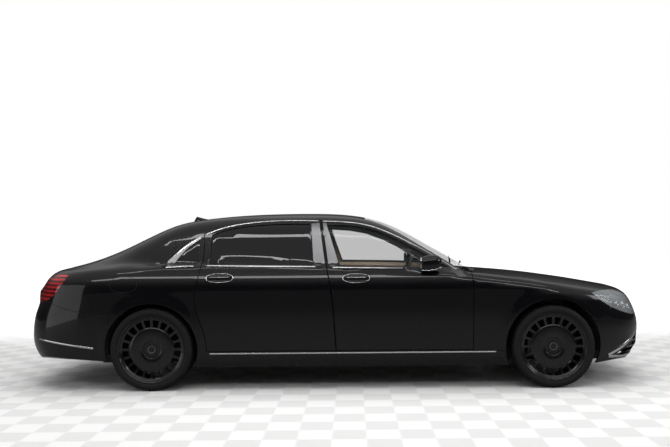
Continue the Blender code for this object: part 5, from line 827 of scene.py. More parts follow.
bonnet_loop = halves(bonnet_rear[::-1], bonnet_side, lamp_top, bonnet_nose)
deck_loop = halves(deck_front[::-1], deck_side, deck_back, deck_foot)
for name, loop, chart in (("bonnet", bonnet_loop, top_chart), ("boot_lid", deck_loop, deck_chart)):
    panel = pressed(chart, beside(loop, LID_GAP, True), LID_THICK)
    piece(name + "_panel", *panel[:2], (paint, inner), name, (name,), "paint", panel[2], skin=True)

BONNET_HINGE, BOOT_HINGE = (1.06, 0.94), (-1.947, 1.03)
for name, (x, z), shares in (("bonnet", BONNET_HINGE, BONNET_ARM), ("boot_lid", BOOT_HINGE, BOOT_ARM)):
    path = [(x + a * ARM_REACH, LID_ARM_Y, z + b * ARM_REACH) for a, b in shares]
    arm = tube(path, ARM_WIDTH / 2, ARM_DEPTH / 2)
    piece(name + "_arm_left", *arm, (steel,), name)
    piece(name + "_arm_right", *other_side(*arm), (steel,), name)

# Glass: clear laminated glass in the windscreen and the front doors, and dark privacy glass in the
# rear doors, the quarter windows and the rear screen.
clear_glass = Finish("clear_glass", (0.02, 0.025, 0.025), 0.02, 0.0, alpha=0.16, ior=1.5)
clear_glass.vary(0.015, 0.02, 0.3)
dark_glass = Finish("privacy_glass", (0.004, 0.004, 0.005), 0.02, 0.0, alpha=0.95, ior=1.5)
dark_glass.vary(0.012, 0.02, 0.3)
rubber = Finish("black_seal_rubber", (0.012, 0.012, 0.012), 0.7)
rubber.bump(rubber.noise(0.0012, 2.0), 0.0002, 0.5)
SCREEN_THICK, PANE_THICK, PANE_FOLD, PANE_SINK, COWL_SHARE, COWL_TUCK = 0.006, 0.005, 0.001, 0.006, 0.555, 0.008
PANE = {"thickness": PANE_THICK, "fold": PANE_FOLD, "straight": True, "spacing": LARGE_SPACING}
screen_loop = halves(screen_foot[::-1], screen_side, screen_top)
back_loop = halves(back_top[::-1], back_side, back_foot)
for name, loop, finish in (("windscreen", screen_loop, clear_glass), ("rear_screen", back_loop, dark_glass)):
    pane = pressed(top_chart, beside(loop, SEAM, True), SCREEN_THICK, fold=PANE_FOLD, spacing=LARGE_SPACING)
    piece(name + "_pane", pane[0], pane[1], (finish,), "body", (name,), "glass", skin=True)
for name, loop, finish in (("front_door", front_window, clear_glass), ("rear_door", rear_window, dark_glass)):
    pane = pressed(side_chart, beside(loop, SEAM, True), sink=PANE_SINK, **PANE)
    both(name + "_pane", pane, (finish,), name, "glass", node=name + "_glass")
pane = pressed(round_chart, beside(quarter_window, SEAM, True), **PANE)
both("quarter_pane", pane, (dark_glass,), "body", "glass", node="quarter_glass")

# The cowl below the windscreen: a black grained plastic cover between the glass and the bonnet,
# across the middle of the car.
cowl_plastic = Finish("black_grained_plastic", (0.018, 0.018, 0.018), 0.55)
cowl_plastic.bump(cowl_plastic.cells(0.0014), 0.0003, 0.6)


def middle_part(line, half):
    """A half line's part near the middle, up to half a width."""
    y = line[:, 1]
    order = np.argsort(y)
    end = [np.interp(half, y[order], line[order, i]) for i in range(3)]
    kept = line[y < half - 0.005]
    return np.concatenate([kept, [end]]) if y[0] < y[-1] else np.concatenate([[end], kept])


cowl_half = HALF_WIDTH * COWL_SHARE
cowl_front, cowl_back = middle_part(bonnet_rear[::-1], cowl_half), middle_part(screen_foot[::-1], cowl_half)
cowl_front[:, 0] -= COWL_TUCK
cowl_back[:, 0] += SEAM
cowl = pressed(top_chart, halves(cowl_back, cowl_front[::-1]), SCREEN_THICK, spacing=LARGE_SPACING)
piece("cowl_cover", cowl[0], cowl[1], (cowl_plastic,), "body", ("cowl_panel",), "trim", skin=True)

# Wheels. Low-profile road tyres on black disc wheels: a smooth centre with a small cap, and a ring of
# twenty rounded windows near the rim, with the brake disc behind them.
TYRE_RADIUS, RIM_RADIUS, WINDOW_COUNT, PITCHES = 0.345, 0.274, 20, 72
CAP_REACH, DISC_STEPS = 0.74, 160
tyre_rubber = Finish("tyre_rubber", (0.014, 0.0138, 0.0132), 0.78, 0.0, specular_ior_level=0.25)
tyre_rubber.vary(0.68, 0.2, 0.03, 3.0)
tyre_rubber.bump(tyre_rubber.noise(0.0016, 2.0), 0.0003, 0.6)
rim_black = Finish(
    "gloss_black_rim", (0.005, 0.005, 0.0055), 0.2, 0.0,
    coat_weight=1.0, coat_roughness=0.04, coat_ior=1.45, specular_ior_level=0.2,
)
rim_black.vary(0.2, 0.12, 0.05)
disc_iron = Finish("brake_disc_iron", (0.3, 0.3, 0.3), 0.35, 1.0)
disc_iron.vary(0.28, 0.25, 0.004, 2.0, (1, 0.2, 1))
cap_metal = Finish("cap_ring_metal", (0.62, 0.62, 0.63), 0.2, 1.0)
cap_metal.vary(0.16, 0.1, 0.01)


def lathed(profile, steps, centre, cut=None):
    """A closed ring about Y from (radius, y) points. cut may change a radius from its number and its step."""
    rings = []
    for step in range(steps):
        angle = math.tau * step / steps
        rows = [(r - (cut(k, step) if cut else 0), y) for k, (r, y) in enumerate(profile)]
        rings.append(np.array([(r * math.sin(angle), y, r * math.cos(angle)) for r, y in rows]) + centre)
    return stacked(rings, wrap=True)


def turned(profile, steps, centre):
    """A closed solid about Y whose profile starts and ends on the axis."""
    rings = []
    for r, y in profile[1:-1]:
        angles = np.linspace(0, math.tau, steps, endpoint=False)
        rings.append(np.stack([r * np.sin(angles), np.full(steps, y), r * np.cos(angles)], -1) + centre)
    points, faces = stacked(rings)
    ends = np.array([(0, profile[0][1], 0), (0, profile[-1][1], 0)], float) + centre
    faces, first = faces[:-2], len(points)
    last = (len(rings) - 1) * steps
    for j in range(steps):
        faces.append((first, (j + 1) % steps, j))
        faces.append((first + 1, last + j, last + (j + 1) % steps))
    return np.concatenate([points, ends]), faces


# A tyre's wall as how far it stands outside the bead or inside the tread, with its share of the half
# width, and its tread in the same way, from the shoulder to the middle.
FROM_BEAD = (
    (0, 0.80), (0, 0.86), (0.0034, 0.9), (0.0093, 0.945), (0.0136, 0.95), (0.016, 0.965), (0.026, 0.99),
    (0.034, 0.998), (0.0355, 0.992), (0.038, 0.992), (0.0395, 0.996),
)
FROM_TOP = ((0.026, 0.985), (0.015, 0.955), (0.008, 0.92), (0.004, 0.88))
TREAD = (
    (0.0025, 0.86), (0.0008, 0.565), (0.0075, 0.555), (0.0075, 0.495), (0.0006, 0.485),
    (0, 0.185), (0.007, 0.175), (0.007, 0.115), (0, 0.105),
)
SHOULDER_CUT, RIB_CUT = 0.0048, 0.003


def tyre(half, centre):
    """A tyre: beads, bulged walls with a rim guard, and a tread of five ribs with cross cuts."""
    bead = RIM_RADIUS + 0.0004
    wall = [(bead + r, y) for r, y in FROM_BEAD] + [(TYRE_RADIUS - r, y) for r, y in FROM_TOP]
    half_profile = wall + [(TYRE_RADIUS - r, y) for r, y in TREAD]
    profile = [(r, y * half) for r, y in half_profile] + [(r, -y * half) for r, y in reversed(half_profile)]
    count, shoulder = len(profile), {len(wall) - 2, len(wall) - 1, len(wall)}
    inner_rib = {len(wall) + 4, len(wall) + 5}

    def cut(k, step):
        near = min(k, count - 1 - k)
        if step % 4 != (0 if k < count / 2 else 2):
            return 0
        return SHOULDER_CUT if near in shoulder else RIB_CUT if near in inner_rib and step % 8 < 4 else 0

    return lathed(profile, PITCHES * 4, centre, cut)


WINDOW_LOW, WINDOW_HIGH, WINDOW_BAR, WINDOW_CORNER = 0.186, 0.2465, 0.021, 0.0085


def window_prism(k, low_y, high_y, centre):
    """One rounded window's cutter, from the disc's back to its front."""
    turn = math.tau * (k + 0.5) / WINDOW_COUNT
    halves_wide = [math.pi * r / WINDOW_COUNT - WINDOW_BAR / 2 for r in (WINDOW_LOW, WINDOW_HIGH)]
    corners = [(WINDOW_LOW, -halves_wide[0]), (WINDOW_HIGH, -halves_wide[1])]
    corners += [(WINDOW_HIGH, halves_wide[1]), (WINDOW_LOW, halves_wide[0])]
    outline = []
    for i, corner in enumerate(corners):
        here = np.array(corner)
        before, after = np.array(corners[i - 1]) - here, np.array(corners[(i + 1) % 4]) - here
        one, two = before / np.linalg.norm(before), after / np.linalg.norm(after)
        for t in np.linspace(0, 1, 5):
            outline.append(here + WINDOW_CORNER * ((1 - t) ** 2 * one + t**2 * two))
    c, s = math.cos(turn), math.sin(turn)
    flat = [(r * s + w * c, r * c - w * s) for r, w in outline]
    return stacked([np.array([(x, y, z) for x, z in flat]) + centre for y in (low_y, high_y)])


def spread(radius):
    """A wheel drawn for a smaller seat, opened out to the tyre's bead."""
    drawn_at, made_at = (0.0, 0.072, 0.15, 0.226, 0.2538, 0.262), (0.0, 0.076, 0.181, 0.2475, 0.2738, 0.2822)
    return float(np.interp(radius, drawn_at, made_at))


# The wheel's section: radius with its place against the disc's face, and with its share of the half
# width at the rim.
DISC_FACE = (
    (0, -0.001), (0.012, 0), (0.03, 0), (0.0345, -0.001), (0.0355, -0.005), (0.037, -0.0075), (0.062, -0.0085),
    (0.0665, -0.0075), (0.069, -0.002), (0.072, -0.0002), (0.1, 0.001), (0.135, 0.0005), (0.146, -0.001),
    (0.15, -0.003), (0.153, -0.0045), (0.158, -0.004), (0.19, 0.001), (0.222, 0.0035), (0.229, 0.006),
)
RIM_SHARES = (
    (0.236, 0.84), (0.243, 0.855), (0.2465, 0.9), (0.251, 0.935), (0.256, 0.95), (0.2608, 0.946), (0.262, 0.93),
    (0.2606, 0.9), (0.2538, 0.86), (0.2538, -0.873), (0.2515, -0.9), (0.244, -0.9), (0.24, -0.873), (0.24, 0.3),
    (0.236, 0.45),
)
DISC_BACK = (
    (0.225, -0.024), (0.15, -0.026), (0.09, -0.03), (0.084, -0.036), (0.084, -0.058), (0.03, -0.058),
    (0.03, -0.032), (0, -0.032),
)


def disc_wheel(half, centre):
    """The wheel without its windows."""
    face = half * CAP_REACH
    profile = [(r, face + y) for r, y in DISC_FACE] + [(r, half * y) for r, y in RIM_SHARES]
    profile += [(r, face + y) for r, y in DISC_BACK]
    return turned([(spread(r), y) for r, y in profile], DISC_STEPS, centre)


BRAKE_DISC = (
    (0.031, 0), (0.085, 0), (0.088, -0.003), (0.115, -0.003), (0.118, 0), (0.1735, 0), (0.1745, -0.001),
    (0.1745, -0.008), (0.1665, -0.009), (0.1665, -0.0155), (0.1745, -0.0165), (0.1745, -0.0235),
    (0.1735, -0.0245), (0.031, -0.0245),
)
CAP_RING = ((0.0275, -0.001), (0.0285, 0.0012), (0.0305, 0.0012), (0.0315, -0.001))


def round_part(profile, face, steps, centre):
    return lathed([(r, face + y) for r, y in profile], steps, centre)


WHEELS = (("front", FRONT_AXLE_X, 0.812, 0.1225), ("rear", REAR_AXLE_X, 0.803, 0.1375))
for end, axle_x, hub_y, half in WHEELS:
    centre, face = np.array([axle_x, hub_y, HUB_Z]), half * CAP_REACH
    body = "wheel_" + end
    both("tyre_" + end, tyre(half, centre), (tyre_rubber,), body, "tyre", node="tyre_" + end, smooth=28)
    tools = gathered(*[window_prism(k, half * 0.1, half * 1.2, centre) for k in range(WINDOW_COUNT)])
    disc = disc_wheel(half, centre)
    both("wheel_disc_" + end, disc, (rim_black,), body, "rim", node="rim_" + end, cut=[tools], smooth=40)
    both("brake_disc_" + end, round_part(BRAKE_DISC, face - 0.0602, 96, centre), (disc_iron,), body)
    both("cap_ring_" + end, round_part(CAP_RING, face, 48, centre), (cap_metal,), body)

# The wheel houses' inner walls: a black moulded sheet inboard of each wheel, which closes the view
# through the arch.
WALL_Y, WALL_LOW, WALL_HIGH = (0.455, 0.459), 0.165, 0.47
for end, low_x, high_x in (("front", 1.40, 2.40), ("rear", -2.20, -1.12)):
    slope = (
        (low_x, 0.30), (low_x + 0.1, WALL_LOW), (high_x - 0.02, WALL_LOW),
        (high_x, 0.19), (high_x, WALL_HIGH), (low_x, WALL_HIGH),
    )
    sheets = [np.array([(x, y, z) for x, z in slope]) for y in WALL_Y]
    both("wheel_house_wall_" + end, stacked(sheets), (cowl_plastic,), "body")

# Bright trim: polished metal strips on clips, along the window line, the sill, the bumpers and the
# air intakes, and brushed panels on the pillars between the doors.
chrome = Finish("polished_trim", (0.78, 0.78, 0.79), 0.09, 1.0)
chrome.vary(0.07, 0.08, 0.05)
brushed = Finish("brushed_trim", (0.34, 0.34, 0.35), 0.38, 1.0)
brushed.vary(0.32, 0.2, 0.001, 2.0, (1, 1, 0.02))
CROWN = ((-0.5, 0.5), (-0.34, 0.92), (0, 1), (0.34, 0.92), (0.5, 0.5))
TRIM_STEP, TRIM_DIVE = 0.02, 0.002


def crowned(line, ahead, width, height):
    """Sections of a strip along a line on the skin, crowned outwards. The width may vary."""
    normal = skin_normal(line)
    side = np.cross(normal, ahead)
    side /= np.linalg.norm(side, axis=1, keepdims=True)
    section = [(-0.5, -TRIM_DIVE / height), *CROWN, (0.5, -TRIM_DIVE / height)]
    return [
        np.array([place + s * a * wide + n * b * height for a, b in section])
        for place, s, n, wide in zip(line, side, normal, np.broadcast_to(width, len(line)))
    ]


def moulding(line, width, height):
    """A closed strip along a line on the skin."""
    line = np.asarray(line, float)
    return stacked(crowned(line, np.gradient(line, axis=0), width, height))


def hoop(line, width, height):
    """A closed moulding round a loop on the skin."""
    ahead = np.roll(line, -1, axis=0) - np.roll(line, 1, axis=0)
    return stacked(crowned(line, ahead, width, height), wrap=True)


def lowered(line, drop):
    """A line on the side shifted down or in by a distance along the skin."""
    one, two = beside(line, drop), beside(line, -drop)
    chosen = one if one[len(one) // 2, 2] < two[len(two) // 2, 2] else two
    return on_skin("side", chosen[:, 0], chosen[:, 2])


def widths_along(line, *widths, at=None):
    """A width for each point of a line, from a few widths along it."""
    places = np.linspace(0, 1, len(widths)) if at is None else at
    return np.interp(np.linspace(0, 1, len(line)), places, widths)


TOP_DROP, TOP_WIDTH, TOP_HEIGHT, BELT_HEIGHT = 0.0125, 0.0125, 0.0035, 0.004
rear_top = lowered(drawn("side", REAR_DOOR_TOP, TRIM_STEP), TOP_DROP)[1:-1]
front_top = lowered(drawn("side", FRONT_DOOR_TOP[:-1], TRIM_STEP), TOP_DROP)[1:]
rear_belt = drawn("side", ((0.409, 0.6865), (0.281, 0.6915), (0.137, 0.6965)), TRIM_STEP)
front_belt = drawn("side", ((0.776, 0.6655), (0.744, 0.668), (0.608, 0.6755), (0.452, 0.682)), TRIM_STEP)
quarter_belt = drawn("side", ((0.036, 0.689), (0.06, 0.6925), (0.104, 0.695)), TRIM_STEP)
quarter_top = drawn("side", ((0.034, 0.693), (0.055, 0.748), (0.0866, 0.818), (0.113, 0.857)), TRIM_STEP)
corner_widths = widths_along(quarter_top, 0.066, 0.046, 0.028, 0.018, at=(0, 0.3, 0.7, 1))
WINDOW_TRIM = (
    ("window_trim_rear", rear_top, TOP_WIDTH, TOP_HEIGHT, "rear_door"),
    ("window_trim_front", front_top, widths_along(front_top, TOP_WIDTH, 0.016), TOP_HEIGHT, "front_door"),
    ("belt_trim_rear", rear_belt, 0.016, BELT_HEIGHT, "rear_door"),
    ("belt_trim_front", front_belt, 0.016, BELT_HEIGHT, "front_door"),
    ("belt_trim_quarter", quarter_belt, widths_along(quarter_belt, 0.02, 0.016), BELT_HEIGHT, "body"),
    ("window_trim_quarter", quarter_top, corner_widths, TOP_HEIGHT, "body"),
)
for name, line, width, height, body in WINDOW_TRIM:
    both(name, moulding(line, width, height), (chrome,), body)

# Brushed pillar panels. Thin metal panels on the door frames, one on each side of the gap between
# the doors.
PILLAR_REAR = ((0.4035, 0.702), (0.396, 0.93), (0.4165, 0.9345), (0.432, 0.703))
PILLAR_FRONT = ((0.4405, 0.703), (0.4255, 0.934), (0.4345, 0.9335), (0.4665, 0.7015))
for end, corners in (("rear", PILLAR_REAR), ("front", PILLAR_FRONT)):
    edges = [drawn("side", (corners[i], corners[(i + 1) % 4])) for i in range(4)]
    panel = pressed(side_chart, joined(*edges), 0.0015, fold=0.0008, sink=-0.0015, spacing=0.05)
    both("pillar_trim_" + end, panel, (brushed,), end + "_door")

# Sill strip and rear bumper strip: a bright strip low along each flank between the wheels, and one
# round each corner of the rear bumper.
SILL_Z, SILL_ENDS = 0.3065, ((0.145, 0.2065), (0.8, 0.2065), (0.856, 0.2065))
BUMPER_LINE = ((-2.53, -2.4, -2.25, -2.03), (0.428, 0.412, 0.39, 0.359))
sill_x = drawn("side", SILL_ENDS, 0.05)[:, 0]
sill_line = on_skin("side", sill_x, np.full(len(sill_x), SILL_Z))
both("sill_trim", moulding(sill_line, 0.011, 0.005), (chrome,), "body")
bumper_strip = on_skin("side", *[np.interp(np.linspace(0, 1, 24), np.linspace(0, 1, 4), row) for row in BUMPER_LINE])
both("bumper_trim", moulding(bumper_strip, 0.014, 0.004), (chrome,), "body")

# Door handles: painted pull bars over flat black ovals, painted shade that stands for the hollow behind
# each bar. Each oval sits in a thin bright rim and each bar has a bright edge.
# The ovals' near-black finish is painted shade for the handle recesses, which the door skin does not have.
recess_shade_black = Finish("handle_recess_shade", (0.012, 0.012, 0.013), 0.35)
recess_shade_black.vary(0.3, 0.15, 0.01)
HANDLES = (("front_door", 0.170, 0.930), ("rear_door", -0.970, 0.940))
HALF_BAR = ((0.5, -0.012), (0.45, 0.002), (0.38, 0.012), (0.2, 0.0175))
BAR_REACH = [(-a, out) for a, out in HALF_BAR] + [(0, 0.0185), *HALF_BAR[::-1]]
BAR_LENGTH, EDGE_LENGTH, EDGE_RADIUS, RIM_HALF, RECESS_SHADE_HALF = 0.22, 0.205, 0.0026, (0.112, 0.037), (0.111, 0.036)


def oval(x, z, half_x, half_z, steps=40):
    """A rounded loop on the side of the body."""
    a = np.linspace(0, math.tau, steps, endpoint=False)
    c, s = np.cos(a), np.sin(a)
    return on_skin("side", x + half_x * np.sign(c) * np.abs(c) ** 0.85, z + half_z * np.sign(s) * np.abs(s) ** 0.85)


for body, x, z in HANDLES:
    middle = on_skin("side", np.array([x]), np.array([z]))[0]
    path = [middle + (a * BAR_LENGTH, out, 0.003) for a, out in BAR_REACH]
    both(body + "_handle", tube(path, 0.0135, 0.0055, 0.8, (0, 0, 1), 5), (paint,), body)
    edge = [middle + (a * EDGE_LENGTH, out + 0.0045, 0.008) for a, out in BAR_REACH[1:-1]]
    both(body + "_handle_edge", tube(edge, EDGE_RADIUS, EDGE_RADIUS, 0.9, (0, 0, 1), 4), (chrome,), body)
    # A thin flat sheet just proud of the skin, painted near black as the shade of the recess behind the bar.
    recess_shade_line = oval(x, z, *RECESS_SHADE_HALF)
    lift = skin_normal(recess_shade_line)
    both(body + "_handle_cup", stacked([recess_shade_line - lift * 0.002, recess_shade_line + lift * 0.0006]), (recess_shade_black,), body)
    both(body + "_handle_rim", hoop(oval(x, z, *RIM_HALF), 0.0035, 0.0028), (chrome,), body)

# Door mirrors: a painted shell on a short foot at the window's front corner, with a bright lower lip
# and the glass at the back.
mirror_glass = Finish("mirror_glass", (0.8, 0.82, 0.84), 0.03, 1.0)
mirror_glass.vary(0.02, 0.02, 0.1, 1.0)
MIRROR, MIRROR_HALF = np.array((0.788, 0.94, 1.052)), np.array((0.095, 0.062, 0.066))
SHELL_POWER, SHELL_ROWS, SHELL_COLUMNS, FLAT_BACK, LEAN_BACK, LEAN_UP = 2.6, 18, 36, 0.75, 0.2, 0.08
FOOT = ((0.80, 0.845, 0.992), (0.797, 0.885, 1.0), (0.79, 0.925, 1.02))
LIP = ((-0.07, 0.03, -0.058), (-0.02, 0.045, -0.06), (0.04, 0.043, -0.053), (0.085, 0.01, -0.035))
PANE_HALF, PANE_BACK, PANE_ENDS = (0.05, 0.052), 0.0735, (-0.0015, 0.004)


def shell(middle, half):
    """A rounded closed shell, cut flat at its rear."""
    rings = []
    for i in range(1, SHELL_ROWS):
        a = math.pi * i / SHELL_ROWS - math.pi / 2
        ring = []
        for b in math.tau * np.arange(SHELL_COLUMNS) / SHELL_COLUMNS:
            way = np.array([math.sin(a), math.cos(a) * math.cos(b), math.cos(a) * math.sin(b)])
            place = np.sign(way) * np.abs(way) ** (2 / SHELL_POWER) * half
            place[0] = max(place[0], -half[0] * FLAT_BACK)
            place[0] -= LEAN_BACK * place[1]
            place[2] += LEAN_UP * place[0]
            ring.append(place + middle)
        rings.append(np.array(ring))
    return stacked(rings)


def squared(value):
    return math.copysign(abs(value) ** 0.7, value)


both("mirror_shell", shell(MIRROR, MIRROR_HALF), (paint,), "front_door", smooth=50)
both("mirror_foot", tube(FOOT, 0.034, 0.012, 0.6, (1, 0, 0), 4), (cowl_plastic,), "front_door")
both("mirror_lip", tube(MIRROR + LIP, 0.004, 0.004, 0.9, (0, 0, 1), 4), (chrome,), "front_door")
turns = np.linspace(0, math.tau, 32, endpoint=False)
outline = [(PANE_HALF[0] * squared(math.cos(a)), PANE_HALF[1] * squared(math.sin(a))) for a in turns]
pane = [np.array([MIRROR + (x - PANE_BACK - LEAN_BACK * y, y, z) for y, z in outline]) for x in PANE_ENDS]
both("mirror_pane", stacked(pane), (mirror_glass,), "front_door")

# Head lamps. Each is a clear moulded cover over a dark housing, with three silver bowls round glass
# projectors, and a silver light bar above them and one below.
lamp_loop = joined(lamp_rear, lamp_foot, lamp_inner, lamp_top[::-1], lamp_tip[::-1])
lamp_cover = Finish("clear_lamp_cover", (0.55, 0.58, 0.6), 0.02, 0.0, alpha=0.22, ior=1.5)
lamp_cover.vary(0.015, 0.02, 0.2)
silver = Finish("lamp_silver", (0.72, 0.73, 0.75), 0.18, 1.0)
silver.vary(0.14, 0.1, 0.01)
projector = Finish("lamp_projector", (0.3, 0.34, 0.38), 0.03, 0.0, coat_weight=1.0)
projector.vary(0.02, 0.04, 0.02)
bowl_finish = Finish("lamp_housing", (0.16, 0.165, 0.17), 0.3, 0.6)
bowl_finish.vary(0.25, 0.15, 0.02)
cover = pressed(nose_chart, beside(lamp_loop, SEAM, True), 0.003, fold=0.001, spacing=0.035)
both("headlamp_cover", cover, (lamp_cover,), "body", "lamp", node="headlamp", skin=True)
housing = pressed(nose_chart, beside(lamp_loop, 0.004, True), 0.004, fold=0.0008, sink=0.042, spacing=0.035)
both("headlamp_housing", housing, (bowl_finish,), "body")


def aimed(solid, place, way):
    """A solid made about +Y from the origin, set at a place and turned to face a way."""
    turn = Vector((0, 1, 0)).rotation_difference(Vector(way)).to_matrix()
    return np.asarray(solid[0]) @ np.array(turn).T + place, solid[1]


# Each projector's place across and up with its bowl's radius, and the bowl's and the eye's sections
# as shares of that radius.
LAMP_SPOTS, LAMP_DEPTH = ((0.715, 0.675, 0.036), (0.775, 0.69, 0.028), (0.62, 0.655, 0.024)), 0.021
BOWL = ((1, -0.012), (0.99, 0.004), (0.9, 0.006), (0.72, -0.004), (0.7, -0.012))
LAMP_EYE = ((0, -0.01), (0.68, -0.01), (0.62, 0.0), (0.4, 0.006), (0, 0.008))
origin, lamp_way = np.zeros(3), np.array((0.8, 0.58, 0.08)) / np.linalg.norm((0.8, 0.58, 0.08))
for k, (y, z, radius) in enumerate(LAMP_SPOTS):
    base = on_skin("nose", np.array([y]), np.array([z]))
    place = base[0] - skin_normal(base)[0] * LAMP_DEPTH
    ring = lathed([(radius * share, reach) for share, reach in BOWL], 40, origin)
    eye = turned([(radius * share, reach) for share, reach in LAMP_EYE], 32, origin)
    both(f"lamp_ring_{k}", aimed(ring, place, lamp_way), (silver,), "body")
    both(f"lamp_eye_{k}", aimed(eye, place, lamp_way), (projector,), "body")
LAMP_BARS = (
    ("lamp_brow", (2.02, 2.42), (0.775, 0.772, 0.745)),
    ("lamp_lash", (2.13, 2.45), (0.668, 0.636, 0.606)),
)
for name, ends, levels in LAMP_BARS:
    z = np.interp(np.linspace(0, 1, 12), (0, 0.5, 1), levels)
    line = on_skin("side", np.linspace(*ends, 12), z)
    bar = tube(line - skin_normal(line) * 0.014, 0.004, 0.004, 0.9, (0, 0, 1), 4)
    both(name, bar, (silver,), "body")

# Tail lamps: a red moulded cover at each rear corner, with bright horizontal ribs over darker red
# cells.
tail_lamp_loop = joined(tail_lamp_front, tail_lamp_foot, deck_back[::-1], tail_lamp_top[::-1])
red_cover = Finish("red_lamp_cover", (0.35, 0.008, 0.012), 0.04, 0.0, coat_weight=1.0, coat_roughness=0.02)
RIB_PITCH = 190.0
band = red_cover.node("ShaderNodeMath", {"operation": "SINE"}, red_cover.axis("Z") * RIB_PITCH)
red_cover.set("Base Color", red_cover.blend(band.ramp(-0.1, 0.35), (0.075, 0.001, 0.003), (0.52, 0.012, 0.018)))
red_cover.vary(0.04, 0.04, 0.1)
cover = pressed(tail_chart, beside(tail_lamp_loop, SEAM, True), 0.05, draft=0.012, spacing=0.035)
both("tail_lamp_cover", cover, (red_cover,), "body", "red_lamp", node="tail_lamp", skin=True)

# Grille: a bright frame round five bright bars, in front of dark upright air guides, set back in the
# front bumper's hole.
grille_dark = Finish("grille_shadow_black", (0.01, 0.01, 0.01), 0.6)
grille_dark.bump(grille_dark.cells(0.008), 0.001, 0.6)
GRILLE_ROWS, BAR, BAR_DEPTH = (0.333, 0.367, 0.4, 0.433, 0.467), (0.004, 0.011), 0.03
SLAT_SPAN, SLAT_COUNT, SLAT_LEVELS, SLAT, SLAT_DEPTH = 0.36, 19, (0.45, 0.74), (0.0015, 0.012), 0.058


def grille_half_width(z):
    """Half the grille hole's width at a height, from its loop."""
    pairs = zip(grille_hole, np.roll(grille_hole, -1, axis=0))
    return max(p[1] + (z - p[2]) / (q[2] - p[2]) * (q[1] - p[1]) for p, q in pairs if (p[2] > z) != (q[2] > z))


def set_back(y, z, by):
    line = on_skin("nose", y, z)
    line[:, 0] -= by
    return line


bars, slats = [], []
for z in [share * HEIGHT for share in GRILLE_ROWS]:
    half = grille_half_width(z) + 0.006
    line = set_back(np.linspace(-half, half, 25), np.full(25, z), BAR_DEPTH)
    bars.append(tube(line, *BAR, 0.5, (0, 0, 1), 4))
levels = [(z, grille_half_width(z)) for z in np.linspace(*SLAT_LEVELS, 12)]
for y in np.linspace(-SLAT_SPAN, SLAT_SPAN, SLAT_COUNT):
    tall = [z for z, half in levels if half > abs(y) + 0.004]
    if len(tall) > 1:
        line = set_back(np.full(6, y), np.linspace(min(tall), max(tall), 6), SLAT_DEPTH)
        slats.append(tube(line, *SLAT, 0.5, (0, 1, 0), 3))
piece("grille_bars", *gathered(*bars), (chrome,), "body", (), "chrome")
piece("grille_slats", *gathered(*slats), (grille_dark,), "body")
sides = zip(grille_hole, np.roll(grille_hole, -1, axis=0))
loop_line = chain(*[np.linspace(start, end, 7) for start, end in sides])[:-1]
outline = on_skin("nose", loop_line[:, 1], loop_line[:, 2])
frame_hoop = hoop(beside(outline, -0.004, True), 0.018, 0.006)
piece("grille_frame", *frame_hoop, (chrome,), "body", (), "chrome")

# Corner air intakes: two bright slats in a dark opening, with a bright strip below and an upright one
# at the corner.
for k, (z, end_y) in enumerate(((0.304, 0.72), (0.356, 0.68))):
    line = on_skin("nose", np.linspace(0.50, end_y, 9), np.full(9, z))
    slat = tube(line - skin_normal(line) * 0.012, 0.0035, 0.008, 0.5, (0, 0, 1), 4)
    both(f"intake_slat_{k}", slat, (chrome,), "body")
low_line = drawn("nose", ((0.47, 0.151), (0.62, 0.152), (0.78, 0.155), (0.86, 0.163)), TRIM_STEP)
both("intake_strip", moulding(low_line, 0.026, 0.005), (chrome,), "body")
corner_line = drawn("nose", ((0.868, 0.17), (0.84, 0.2), (0.76, 0.245), (0.66, 0.285)), TRIM_STEP)
both("intake_corner", moulding(corner_line, widths_along(corner_line, 0.03, 0.02), 0.006), (chrome,), "body")
net = pressed(nose_chart, beside(intake_hole, 0.001, True), 0.003, fold=0.0006, sink=0.03, spacing=0.03)
both("intake_net", net, (grille_dark,), "body")

# Wipers: two black arms with flexible blades, lying on the foot of the windscreen. Each arm's root
# is let down towards the cowl.
WIPERS, BLADE_LIFT, ARM_LIFT, PIVOT_DROP = ((0.80, 0.775, 0.62, 0.02), (0.805, 0.78, -0.02, -0.58)), 0.008, 0.011, 0.012
for k, (foot, tip, near, far) in enumerate(WIPERS):
    a = np.linspace(0, 1, 14)
    line = on_skin("top", along(foot + (tip - foot) * a), (near + (far - near) * a) * HALF_WIDTH)
    line = line + skin_normal(line) * BLADE_LIFT
    piece(f"wiper_blade_{k}", *tube(line, 0.003, 0.005, 0.6, (1, 0, 0), 3), (rubber,), "body")
    arm = line[:8] + skin_normal(line[:8]) * ARM_LIFT
    arm[0] -= (0, 0, PIVOT_DROP)
    piece(f"wiper_arm_{k}", *tube(arm, 0.006, 0.0035, 0.6, (1, 0, 0), 3), (cowl_plastic,), "body")

# Roof aerial: a short painted fin at the back of the roof, highest near its rear and sloping down
# towards the front.
FIN_ENDS, FIN_HEIGHT, FIN_HALF, FIN_STEPS, FIN_ROOT = (-1.375, -1.215), 0.05, 0.014, 14, 0.006
rings = []
fin_base = on_skin("top", np.linspace(*FIN_ENDS, FIN_STEPS), np.zeros(FIN_STEPS))
for t, place in zip(np.linspace(0, 1, FIN_STEPS), fin_base):
    tall = FIN_HEIGHT * min(1.0, 0.3 + 4.5 * t) * max(1 - max(t - 0.16, 0) / 0.84, 0.02) ** 1.3 + 0.002
    wide = FIN_HALF * math.sin(math.pi * (0.12 + 0.8 * t)) + 0.002
    left = [(-wide, -FIN_ROOT), (-wide * 0.9, tall * 0.5), (-wide * 0.25, tall)]
    rings.append(np.array([place + (0, y, z) for y, z in left + [(-y, z) for y, z in left[::-1]]]))
piece("roof_aerial", *stacked(rings), (paint,), "body", smooth=60)

# Fuel flap: its shut line on the right flank, above the rear wheel. The flap itself is part of the
# body side.
flap_line = hoop(oval(-1.772, 0.892, 0.112, 0.066, 56), 0.0028, 0.0005)
piece("fuel_flap_gap", *other_side(*flap_line), (rubber,), "body")

